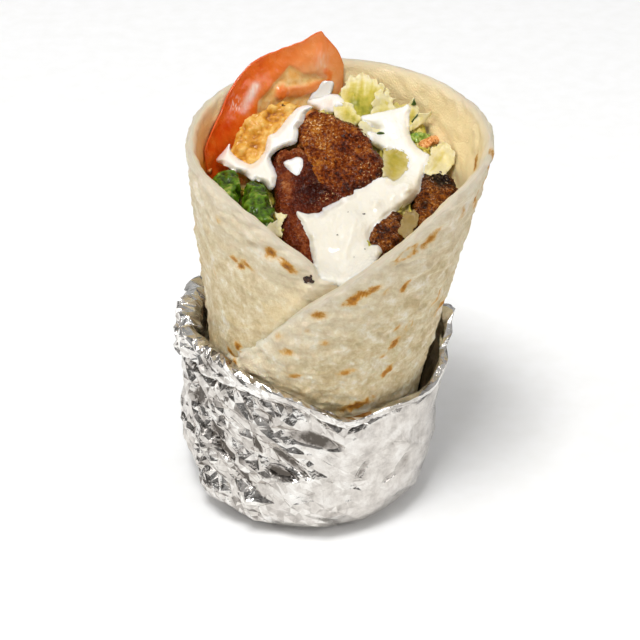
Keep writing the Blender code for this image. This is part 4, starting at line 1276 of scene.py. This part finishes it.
def leaf_faces(rows, columns, start):
    index = np.arange(rows * columns).reshape(rows, columns) + start
    quads = np.stack([index[:-1, :-1], index[1:, :-1], index[1:, 1:], index[:-1, 1:]], -1).reshape(-1, 4)
    under = quads[:, ::-1] + rows * columns
    around_edge = np.concatenate([index[0, :-1], index[:-1, -1], index[-1, :0:-1], index[:0:-1, 0]])
    ahead = np.roll(around_edge, -1)
    sides = np.stack([around_edge, ahead, ahead + rows * columns, around_edge + rows * columns], -1)
    return np.concatenate([quads, under, sides]).tolist()


def cut_leaf(draw, start, end, half_width, tilt, ruffle, arch):
    """One ribbon of leaf from start to end, tilted round its length and ruffled at its sides."""
    rows, columns = 17, 9
    t = np.linspace(0, 1, rows)[:, None]
    length = end - start
    spine = start + t * length
    beside = np.cross(length, [0, 0, 1])
    beside /= np.linalg.norm(beside) + 1e-9
    lift = np.cross(beside, length)
    lift /= np.linalg.norm(lift) + 1e-9
    if lift[2] < 0:
        lift = -lift
    spine = spine + lift * arch * np.sin(math.pi * t)
    sway, bends = draw.uniform(-0.9, 0.9), draw.uniform(0.8, 1.8)
    spine = spine + beside * half_width * sway * np.sin(math.pi * t * bends)
    side = math.cos(tilt) * beside + math.sin(tilt) * lift
    over = math.cos(tilt) * lift - math.sin(tilt) * beside
    s = np.linspace(-1, 1, columns)[None, :]
    waves = np.sin(t * draw.uniform(9, 17) + draw.uniform(0, 6)) * s**2 * np.sign(s)
    waves = waves + 0.7 * np.sin(t * draw.uniform(14, 24) + draw.uniform(0, 6)) * s**2
    cup = draw.uniform(-0.5, 0.8) * s**2 * half_width
    widths = half_width * np.clip(np.sin(math.pi * np.clip(t[:, 0], 0.06, 0.94)) ** 0.45, 0.3, 1)
    widths = widths * (1 + 0.25 * np.sin(t[:, 0] * draw.uniform(12, 22)))
    across = s[..., None] * side + ((waves * ruffle + cup) / half_width)[..., None] * over
    return leaf_grid(spine, across, widths, draw.uniform(0.45, 0.8) * MM), s, t


pieces_above, core_tree = hit_tree(*HARD_PIECES), hit_tree(core)
draw = np.random.default_rng(21)
leaf_points, leaf_quads, leaf_tone = [], [], []
RIBBONS, MOST_TRIES = 260, 4000
SALAD_TOP_FROM, MOUTH_HEIGHT = 0.09, 0.12
laid_leaves = 0
for _ in range(MOST_TRIES):
    if laid_leaves == RIBBONS:
        break
    turn, far = draw.uniform(0, 360), math.sqrt(draw.uniform(0.0, 1.0))
    reach = far * float(inner_wall(turn, MOUTH_HEIGHT))
    x = reach * math.sin(math.radians(turn)) + float(axis_x(MOUTH_HEIGHT))
    y = -reach * math.cos(math.radians(turn))
    heading = draw.uniform(0, math.pi)
    step = draw.uniform(4, 10) * MM * np.array([math.cos(heading), math.sin(heading)])
    half_width, tilt = draw.uniform(1.8, 4.2) * MM, draw.uniform(-0.9, 0.9)
    ruffle, tone, arch = draw.uniform(0.3, 0.9) * MM, draw.uniform(0.0, 0.26), draw.uniform(0.0, 2.0) * MM
    ends = []
    for sign in (-1, 0, 1):
        px, py = x + sign * step[0], y + sign * step[1]
        ground = height_at(core_tree, px, py)
        if ground > SALAD_TOP_FROM and height_at(pieces_above, px, py) < ground - 2 * MM:
            ends.append(np.array([px, py, ground + draw.uniform(0.2, 2.2) * MM]))
    if len(ends) < 3:
        continue
    (top, under), s, t = cut_leaf(draw, ends[0], ends[2], half_width, tilt, ruffle, arch)
    laid_leaves += 1
    su, sv = seen((ends[0] + ends[2])[None] / 2)
    if math.hypot(su[0] - 31.5, sv[0] - 41) < 4:  # sauce lies there
        continue
    base = sum(len(points) for points in leaf_points)
    leaf_quads.extend(leaf_faces(*top.shape[:2], base))
    leaf_points.append(keep_inside(np.concatenate([top.reshape(-1, 3), under.reshape(-1, 3)]), 0.7 * MM))
    tones = np.clip(tone + 0.22 * np.abs(s) ** 1.5 + 0.06 * np.sin(9 * t + 20 * tone), 0, 1)
    leaf_tone.append(np.tile(tones.reshape(-1), 2))

leaves = plain_mesh("lettuce_cut_ribbons", np.concatenate(leaf_points), leaf_quads, lettuce)
add_marks(leaves, "tone", np.concatenate(leaf_tone))
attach(leaves, "root")

# Over the slab's low side lies a fold of the glazed meat, with a crusted upper edge.
GLAZED_FOLD = (
    (-15.4, 56.7), (-14.3, 58.4), (-12.2, 59.7), (-10.5, 59.3), (-8.4, 60.4), (-5.9, 59.5), (-4.2, 56.7),
    (-2.8, 53.9), (-1.4, 50.4), (0.7, 47.9), (3.8, 46.5), (7, 45.1), (9.8, 43.4), (8.4, 40.9), (5.2, 38.8),
    (0.7, 36.4), (-4.2, 35.3), (-6.3, 33.9), (-4.9, 30.8), (-2.8, 26.9), (-2.1, 22.4), (-3.8, 20.3),
    (-5.9, 23.8), (-8.4, 28.7), (-10.5, 34.3), (-12.2, 40.2), (-13.3, 46.2), (-14.3, 51.8),
)
fold = Patch(GLAZED_FOLD, spacing=0.3, ragged=0.6, seed=33)
u, v = fold.flat.T
lying = depths(hit_tree(*HARD_PIECES), fold.rays)
level = fold.relaxed(lying, lying, 220)
places = flat(u, v)
crust_edge = bell(near_line(u, v, [(-14.9, 56), (-12.5, 58.8), (-9, 59.6), (-6.5, 59.4)]) / 1.3)
relief = 0.8 + 0.45 * rough(places, 4.5, 3) + 0.28 * rough(places, 1.8, 5) + 0.16 * ridges(places, 1.3, 8)
relief = relief + 0.9 * crust_edge * (0.6 + rough(places, 1.6, 12))
relief = relief * ease(0.5, 7, near_line(u, v, list(GLAZED_FOLD[-8:]) + [GLAZED_FOLD[0]]) + 7 * crust_edge)
share = np.clip(fold.inner / 1.1, 0, 1)
level = level + 0.4 * MM - (relief + 0.4) * MM * np.sqrt(1 - (1 - share) ** 2)
front = np.minimum(fold.relaxed(level, level + 9, 1), lying + (0.4 - 0.5 * share) * MM)
glazed_fold = fold.solid("glazed_chicken_fold", front, front + 2.2 * MM, glazed_meat)
# Painted shade: the fold is darkened along its border with the slab, where shade falls between the two.
shaded_border = near_line(u, v, GLAZED_LINE[1:]) - 1.2 * rough(places, 2.2, 14)
sear = np.clip(0.12 + 0.2 * rough(places, 3.5, 21) + 0.35 * bell(shaded_border / 1.6), 0, 1)
pale = 0.7 * crust_edge + 0.5 * bell((u + 8) / 4, (v - 29) / 7) + 0.4 * rough(places, 5, 25)
pale += 0.5 * bell((u + 12) / 2.5, (v - 48) / 6) - 0.7 * bell((u + 3) / 5, (v - 45) / 6)
# Painted glints gather along the fold's right side and on its crust.
glints = 0.06 + 0.7 * bell(near_line(u, v, [(1, 45), (8, 42), (5, 37)]) / 2.5) + 0.5 * crust_edge
add_marks(glazed_fold, "sear", sear, glints, pale)
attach(glazed_fold, "root")
HARD_PIECES = (*HARD_PIECES, "glazed_chicken_fold")

# Each larger leaf: outline (mm right and up, as the camera sees it), how far it stands off what is
# behind it at its foot and at its top, ripple, rib spacing (0 for none), rib lean, tone at the foot
# and at the top, and painted shade.
LEAVES = {
    "lettuce_leaf_back": ((
        (7.3, 78), (7.6, 80.5), (8.6, 82.4), (9.6, 84.4), (11.0, 85.6), (12.2, 85.0), (13.4, 86.2),
        (15.2, 86.8), (16.4, 85.6), (17.6, 85.8), (18.4, 84.2), (19.9, 84.3), (20.4, 82.6), (21.8, 82.9),
        (22.6, 81.2), (22.4, 79.5), (23.6, 78.6), (23.0, 77.3), (24.0, 76.0), (23.5, 74.5), (23.1, 72.4),
        (19.6, 71), (16.1, 70), (12.6, 71.4), (10.1, 73.5), (8, 75.9),
    ), 2.5, 1.5, 0.9, 5.4, 0.12, 0.78, 0.04, 0.0),
    "lettuce_leaf_crimped": ((
        (17.6, 71.5), (18.6, 74.4), (18.0, 76.4), (19.6, 77.6), (19.4, 79.4), (21.4, 80.8), (22.0, 79.2),
        (23.4, 81.4), (24.6, 79.8), (24.2, 78.2), (26.4, 77.6), (25.4, 75.8), (27.0, 74.4), (25.8, 72.6),
        (26.4, 71.2), (23.5, 70.4), (20.5, 69.8),
    ), 3.0, 3.6, 1.5, 0.0, 0.3, 0.3, 0.02, 0.0),
    "lettuce_leaf_folded": ((
        (4.5, 74.2), (6.3, 75.8), (8.8, 76.1), (11.2, 75.9), (11.9, 74.5), (12.9, 72.8), (14.3, 71),
        (16.1, 68.6), (13.6, 67.9), (10.8, 68.2), (8, 69.3), (5.9, 71),
    ), 1.5, 3.5, 0.7, 4.0, 0.6, 0.45, 0.25, 0.0),
    "lettuce_leaf_tip": ((
        (30.1, 71), (31, 73.8), (31.7, 76.1), (32.4, 77.7), (33.4, 75.9), (34.3, 74.2), (34.6, 72.4),
        (33.9, 70.3), (32.5, 67.5), (31.1, 66.1), (30.1, 68.6),
    ), 2.0, 4.0, 0.4, 0.0, 0.0, 0.45, 0.3, 0.0),
    "lettuce_leaf_tip_right": ((
        (31.1, 67.5), (32.9, 69.6), (34.3, 71.9), (36.4, 72.4), (39.5, 73), (37.8, 70.5), (35.3, 68.6),
        (32.9, 67), (31.5, 65.8),
    ), 2.0, 5.0, 0.5, 3.0, 0.9, 0.35, 0.2, 0.0),
    "lettuce_leaf_pale": ((
        (36.4, 51.1), (37.4, 54.9), (38.5, 57.7), (39, 60.2), (41.3, 61.2), (43.4, 62.3), (45.1, 61.4),
        (45.8, 60.5), (46.9, 59), (47.4, 56.7), (47.2, 54.8), (46.2, 53.5), (44.8, 52.1), (43.4, 50.8),
        (40.6, 51.1), (38.5, 50.8),
    ), 1.5, 3.5, 0.9, 3.4, 0.9, 0.14, 0.0, 0.0),
    # The leaf in the hollow is painted darker towards its top and given painted shade, for the shadow in the
    # recess.
    "lettuce_leaf_hollow": ((
        (22, 59.8), (26.2, 59.8), (29.4, 58.8), (31.5, 55.6), (31, 52.5), (29, 49.7), (26.1, 47.6),
        (23.1, 48.3), (21.7, 51.8), (21.7, 56),
    ), 1.6, 0.8, 1.2, 0.0, 0.8, 0.1, 0.55, 0.3),
    # The leaf between the meat pieces lies in shadow, given as painted shade.
    "lettuce_leaf_between": ((
        (28.7, 36.2), (30.1, 38), (31.8, 37.8), (33.6, 38.3), (34.5, 36.4), (33.8, 32.9), (31.8, 29.7),
        (29.6, 28.9), (27.5, 30.8), (28.2, 34.3),
    ), 0.8, 0.8, 1.8, 2.6, 0.3, 0.0, 0.1, 0.8),
    "lettuce_leaf_slip": ((
        (13.6, 67.5), (14, 69.5), (16, 69.6), (19, 68), (23, 66.3), (24.2, 64.7), (21, 63.4), (17, 63.3),
        (14.5, 64.8),
    ), 1.0, 1.2, 0.4, 0.0, 0.9, 0.02, 0.08, 0.0),
    "lettuce_leaf_frill": ((
        (-19.2, 32.4), (-17.6, 33.9), (-15.6, 35), (-15.2, 36), (-15.8, 37.6), (-13.8, 37.5), (-11.8, 37),
        (-11.9, 35.6), (-13, 34.2), (-13.6, 32.4), (-13.4, 29), (-15.4, 29.4), (-17.5, 30.9),
    ), 0.8, 1.8, 0.6, 1.6, -0.6, 0.0, 0.16, 0.0),
}
behind = hit_tree(tortilla, core, leaves, *HARD_PIECES)
for seed, (name, spec) in enumerate(LEAVES.items()):
    outline, off_foot, off_top, ripple, rib_gap, rib_lean, tone_foot, tone_top, shade = spec
    patch = Patch(outline, spacing=0.32, ragged=0.8, seed=40 + seed)
    u, v = patch.flat.T
    rise = (v - v.min()) / (v.max() - v.min())
    lying = depths(behind, patch.rays)
    level = patch.relaxed(lying, lying, 60)
    level = patch.relaxed(level, level + 9, 12)
    wavy = rough(flat(u, v), 4.0, seed + 3.3)
    frill = rough(flat(u, v), 1.6, seed + 7.7) * bell(patch.inner / 1.4)
    ribs = 0 * u
    if rib_gap:
        lines = (u - rib_lean * v + 1.2 * wavy) / rib_gap
        ribs = bell((lines - np.round(lines)) * rib_gap / 0.9)
    along = flat(u - rib_lean * v, (v + rib_lean * u) / 7)
    streaks = rough(along, 1.3, seed + 1.9) + 0.5 * rough(along, 0.7, seed + 2.7)
    streaks = streaks * (1 if rib_gap else 0.25)
    away = off_foot + (off_top - off_foot) * rise + ripple * (wavy + 0.8 * frill)
    front = level - (away + 0.14 * ribs + 0.12 * streaks) * MM
    leaf = patch.solid(name, front, front + (0.45 + 0.3 * ribs) * MM, lettuce)
    tones = tone_foot + (tone_top - tone_foot) * rise - 0.06 * ribs + 0.14 * wavy + 0.16 * streaks
    add_marks(leaf, "tone", np.clip(tones - 0.3 * bell(patch.inner / 1.5), 0, 1), shade + 0 * tones)
    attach(leaf, "root")

# ------------------------------------------------------------
# The sauce: thin white garlic yoghurt poured over the top. It lies in a broad pool that runs down
# into the V, a trail to the left, a dollop on the meat and a thin streak on the tomato.

sauce, add, shader = new_finish(
    "yoghurt_sauce_wet", IOR=1.4, Subsurface_Weight=0.6, Subsurface_Scale=0.002,
    Subsurface_Radius=(1.0, 0.9, 0.7), Coat_Weight=0.6, Coat_Roughness=0.06,
)
# Smooth wet cream with a soft shine along its folds. Its thickness marks are painted light: whiter
# towards the top and at the edges, with a painted glare highlight, and greyer lower down.
coord = add("TexCoord").outputs["Object"]
cream = add("TexNoise", {"Vector": coord, "Scale": 110.0, "Detail": 2.0})
thickness = add("Attribute", attribute_name="thickness").outputs["Fac"]
body = add("Math", (cream, 0.5, thickness), operation="MULTIPLY_ADD")
white = add(
    "ValToRGB", (body,),
    stops=((0.0, "#cfc2ae"), (0.25, "#e5dfd0"), (0.6, "#ece7da"), (1.1, "#f8f5ee")),
)
dimpled = add("TexNoise", {"Vector": coord, "Scale": 230.0, "Detail": 2.0})
finish_face(add, shader, white, dimpled, strength=0.25, depth=0.0008, gloss=(cream, 0.16, 0.3))

# Each spill: outline (mm right and up, as the camera sees it), least depth, how fast it thickens
# from its edge, the roundness of that edge and its flow marks, all in mm, and its CAD node.
SPILLS = {
    "sauce_poured_pool": ((
        (-8.4, 36.6), (-6.8, 33.5), (-5.9, 31), (-4.1, 27.9), (-3.7, 24.8), (-2.8, 21.7), (-2.2, 18.5),
        (-1.6, 16.1), (0, 13.9), (5.6, 12), (8, 12.1), (15.5, 16.6), (19.2, 20.1), (21.1, 22.6), (21.8, 24.1),
        (20.5, 26), (18.3, 26.3), (17.2, 25.9), (17.4, 27.6), (17.8, 29.7), (19.2, 31.9), (21.2, 33.6),
        (24.2, 36.4), (27.1, 38.2), (28.9, 39.1), (31.5, 40.7), (33.4, 42.6), (35.3, 45.2), (35.6, 47.7),
        (36.6, 50.3), (37.2, 53.4), (38.5, 56), (38.2, 57.9), (35.9, 59.2), (33.7, 61.1), (32.1, 63.6),
        (31.5, 65.9), (31.4, 69.4), (31.5, 71.9), (31.8, 74.1), (30.7, 75.5), (28.9, 74.6), (24.5, 73.5),
        (19.4, 72.6), (14.6, 71.4), (14.6, 70), (16.4, 68.3), (18.6, 67.1), (21, 66.3), (19.6, 65.7),
        (17.6, 66), (16.2, 65.8), (16.7, 64.5), (17.8, 62.7), (19.1, 60.6), (22.6, 59), (26.4, 58.6),
        (28.9, 57.6), (30.2, 55.4), (29.9, 52.8), (28.3, 50.3), (26.1, 48.7), (24.5, 49.3), (23.2, 50.3),
        (20.7, 50.1), (18.4, 48.9), (15.5, 46.8), (11.8, 45.6), (11.2, 44), (8, 43.1), (6.2, 41.8),
        (3.7, 40.6), (1.2, 39.3), (0.6, 38.1), (-1.3, 37.5), (-4.4, 37.3), (-7.8, 38),
    ), 0.5, 0.4, 2.6, 0.7, "sauce_pool"),
    "sauce_poured_trail": ((
        (-36.3, 56), (-34.1, 58.7), (-31.7, 61.6), (-31.2, 59.5), (-29.6, 57.4), (-26.7, 55.5), (-24.3, 54.7),
        (-22.2, 55.8), (-20.9, 57.1), (-19.3, 59.5), (-18.8, 62.1), (-18, 64.5), (-15.6, 65.8), (-14, 67.4),
        (-12.5, 69.5), (-10.4, 71.9), (-8.2, 74), (-6.1, 75), (-4, 75.3), (-2.6, 74.5), (-3.5, 73.5),
        (-4.8, 72.1), (-5.6, 69.5), (-7.5, 66.8), (-7.7, 64.2), (-8.2, 62.1), (-10.4, 61), (-13.2, 60),
        (-15.6, 58.7), (-17.2, 56.8), (-16.7, 54.7), (-15.7, 52.6), (-15.1, 50.5), (-15.4, 47.8),
        (-16.7, 45.7), (-18, 45.5), (-19, 46.8), (-20.9, 48.1), (-22.5, 48.9), (-23.8, 48.6), (-25.1, 49.7),
        (-26.2, 50.5), (-28.3, 51.3), (-30.7, 52.3), (-32.2, 53.4), (-34.6, 54.5),
    ), 0.6, 0.45, 2.3, 0.5, "sauce_trail"),
    "sauce_poured_blob": ((
        (-4.7, 76.5), (-3.2, 77.9), (-0.3, 78.2), (2.8, 79), (5, 79.2), (7.1, 78.5), (8.4, 76.9), (8.1, 74.8),
        (6.5, 74.5), (5.2, 73.7), (4.7, 72.1), (2.8, 72.4), (0.2, 73.2), (-1.9, 73.8), (-4, 74.4),
    ), 1.0, 0.9, 2.0, 0.2, None),
    "sauce_dollop": ((
        (-12.8, 54.8), (-11.7, 55.9), (-10.5, 56.2), (-9.4, 56.7), (-8.2, 57.2), (-6.9, 57), (-5.8, 56),
        (-5.6, 53.9), (-6.3, 51.8), (-7.8, 49.9), (-9.5, 50.7), (-11.6, 52.7),
    ), 0.35, 0.4, 1.6, 0.1, None),
    "sauce_streak": ((
        (-4, 77), (-3.2, 79), (-1.4, 80.6), (-0.3, 82.4), (0.7, 83.7), (2.8, 84.1), (4.7, 83.5), (4.9, 82.1),
        (4.4, 80), (3.5, 78.1), (-0.3, 77.3), (-3, 76.6),
    ), 0.25, 0.15, 0.8, 0.15, None),
}
# Soft ridges where the pool folded over itself: line, height, half width.
FLOW_LINES = (
    (((13, 36.8), (11.5, 33), (10.2, 28), (9, 23), (8.4, 20)), 0.8, 1.2),
    (((3, 39), (8, 41), (14, 44), (20, 46)), 0.5, 1.5),
    (((33, 58), (35, 53), (33, 47), (29, 42)), 0.45, 1.6),
    (((-24, 53), (-19, 57), (-15, 63), (-9, 70)), 0.4, 1.5),
)
resting = hit_tree(tortilla, core, leaves, *HARD_PIECES, *LEAVES)
cad_sauces = (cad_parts[node] for node in ("sauce_pool", "sauce_trail"))
sauce_volumes = hit_tree(tortilla, core, *HARD_PIECES, *cad_sauces)
for seed, (name, spec) in enumerate(SPILLS.items()):
    outline, least, gain, roundness, marks, node = spec
    patch = Patch(outline, spacing=0.33, ragged=0.18, seed=70 + seed)
    u, v = patch.flat.T
    lying = depths(resting, patch.rays)
    held = lying
    if node == "sauce_trail":  # it fills the gap up to the slab at its right
        beside = [depths(resting, sights(patch.flat + step)) for step in ((2.4, 0), (1.7, 1.4), (1.7, -1.4))]
        held = np.minimum(lying, np.min(beside, axis=0) + 0.6 * MM)
    base = patch.relaxed(held, held, 160)
    full = np.minimum(lying, depths(sauce_volumes, patch.rays)) if node else lying
    full = np.minimum(np.maximum(full, base - (least + gain * patch.inner) * MM), base)
    level = patch.relaxed(full - least * MM, full - 0.5 * least * MM, 60)
    places = flat(u, v)
    flow = marks * rough(places, 5.0, seed + 0.4) + 0.35 * marks * rough(places, 2.0, seed + 1.4)
    for line, tall, wide in FLOW_LINES:
        flow = flow + tall * bell(near_line(u, v, line) / wide) * (patch.inner > 1)
    level = patch.relaxed(level - flow * MM * np.clip(patch.inner / 2, 0, 1), level + 9, 4)
    share = np.clip(patch.inner / roundness, 0, 1)
    edge = np.minimum(patch.relaxed(lying, lying + 9, 2), base + 1.5 * MM) + 0.3 * MM
    front = edge + (np.minimum(level, edge) - edge) * (1 - (1 - share) ** 2)
    front = np.minimum(front, lying + 0.3 * MM - 0.7 * MM * share)
    back = np.clip(edge + 0.6 * MM, front + 1.0 * MM, front + 5 * MM)
    spill = patch.solid(name, front, back, sauce)
    # Painted light: whiter towards the top and at the edges, and a painted glare highlight near the pool's
    # upper left edge.
    thick = 0.1 + 0.5 * ease(38, 58, v) + 0.25 * ease(1.4, 0.3, patch.inner)
    glare = near_line(u, v, [(-1.5, 36.6), (2, 38.6), (5.5, 40.6), (9, 42)]) - 1.2 * rough(places, 1.6, 3)
    thick = np.clip(thick + 0.6 * bell(glare / 0.9), 0, 1)
    add_marks(spill, "thickness", thick, thick, thick)
    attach(spill, "root")
    if node:
        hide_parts(node)

# ------------------------------------------------------------
# The small bits on top: a piece of herb leaf, an orange crumb, slivers of dark green leaf, and
# flecks of burnt spice on the sauce, the fried piece and the left flap.

# Each bit's finish: the scale of its grain, drawn as coarse as it needs to show, the detail in it,
# its colours from the hollows up, and the values that don't vary.
BIT_FINISHES = {
    # Fresh thin leaf, torn and moist: bright, with a light skin shine.
    "herb_leaf_bright": (
        900.0, 3.0, ((0.35, "#54761a"), (0.5, "#7c9c34"), (0.65, "#aebf6a")),
        {"Roughness": 0.3, "Coat_Weight": 0.3},
    ),
    # The leaf's dark side, cut in slivers: deep green and satin.
    "herb_leaf_dark": (900.0, 3.0, ((0.35, "#1f3208"), (0.65, "#4c6420")), {"Roughness": 0.4}),
    # Fried batter crumb stained with paprika: orange with paler crests, dry.
    "crumb_spiced_orange": (
        1200.0, 3.0, ((0.35, "#b0622a"), (0.5, "#dc9450"), (0.65, "#efc08a")), {"Roughness": 0.5},
    ),
    # Spice burnt on the plate: nearly black and dull.
    "spice_burnt": (1500.0, 2.0, ((0.4, "#1a100a"), (0.65, "#5a3a24")), {"Roughness": 0.55}),
}
for name, (scale, detail, colours, values) in BIT_FINISHES.items():
    bit_finish, add, shader = new_finish(name, IOR=1.4, **values)
    coord = add("TexCoord").outputs["Object"]
    grain = add("TexNoise", {"Vector": coord, "Scale": scale, "Detail": detail})
    feed(shader, {"Base Color": add("ValToRGB", (grain,), colours)})


def fleck(u, v, width, height, seed):
    """The uneven outline of a fleck with its middle here, in mm as the camera sees it."""
    draw = np.random.default_rng(seed)
    angles = np.linspace(0, 2 * math.pi, 8)[:-1]
    reach = draw.uniform(0.6, 1.25, 7)
    return tuple(zip(u + width / 2 * reach * np.cos(angles), v + height / 2 * reach * np.sin(angles)))


# Each kind: finish, thickness and unevenness in mm, CAD slot, outlines as the camera sees them.
BITS = {
    "herb_leaf_piece": ("herb_leaf_bright", 0.6, 0.5, "lettuce", (
        (
            (31.8, 65.1), (33.6, 65.6), (35.3, 65.7), (37.4, 65.3), (38.8, 64.4), (37.8, 63.2), (35.7, 62.3),
            (33.6, 61.9), (32.2, 63),
        ),
    )),
    "herb_leaf_slivers": ("herb_leaf_dark", 0.35, 0.1, "lettuce", (
        ((32.4, 76.2), (32.8, 77.7), (33.7, 75.6), (33, 75.1), (32, 75.4)),
        ((34.5, 72.6), (34.8, 72.2), (32.6, 69.3), (31.9, 68.7), (31.8, 69.2), (33.2, 71)),
        ((19.8, 65.3), (20.7, 65.9), (22, 65.8), (22.6, 65.2), (21, 64.9)),
    )),
    "spiced_crumb": ("crumb_spiced_orange", 1.6, 0.9, "golden_crust", (
        (
            (34.6, 61.6), (35.3, 62.8), (37.4, 63.7), (39.5, 64.6), (40.9, 64.4), (41.6, 63), (40.9, 61.6),
            (38.8, 60.9), (37.4, 60.2), (35.3, 60.7),
        ),
        fleck(-38.6, 52, 1.6, 2.2, 8),
    )),
    "burnt_flecks": ("spice_burnt", 0.3, 0.15, "seared_meat", (
        fleck(15.4, 37.1, 1.1, 0.6, 1), fleck(9.8, 37.8, 0.5, 0.4, 2), fleck(15.8, 24.9, 0.6, 0.5, 3),
        fleck(6, 29.8, 0.8, 0.5, 4), fleck(11.9, 22, 0.4, 0.4, 5), fleck(-13, 75.3, 0.5, 1.1, 6),
        fleck(-12.4, 75, 0.9, 0.3, 7), fleck(-4.4, 14.4, 3.0, 2.0, 9), fleck(-3, 13.5, 1.9, 1.9, 10),
        fleck(-3.2, 15.2, 1.6, 1.5, 11), fleck(-5, 13.3, 1.5, 1.2, 12),
    )),
}
on_top = hit_tree(tortilla, core, leaves, *HARD_PIECES, *LEAVES, *SPILLS)
for name, (finish, thick, uneven, slot, outlines) in BITS.items():
    points, faces = [], []
    for outline in outlines:
        patch = Patch(outline, spacing=0.25, ragged=0.12, seed=len(points))
        lying = depths(on_top, patch.rays)
        dome = 1 - (1 - np.clip(patch.inner / max(thick, 0.4), 0, 1)) ** 2
        bumps = uneven * rough(flat(*patch.flat.T), 1.3, 5)
        front = patch.relaxed(lying, lying, 20) + (0.05 - (thick + bumps) * dome) * MM
        shell, sides = patch.shell(front, np.maximum(lying + 0.2 * MM, front + 0.1 * MM))
        start = sum(len(part) for part in points)
        points.append(shell)
        faces += [[start + corner for corner in side] for side in sides]
    bit = plain_mesh(name, np.concatenate(points), faces, bpy.data.materials[finish])
    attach(bit, "root")
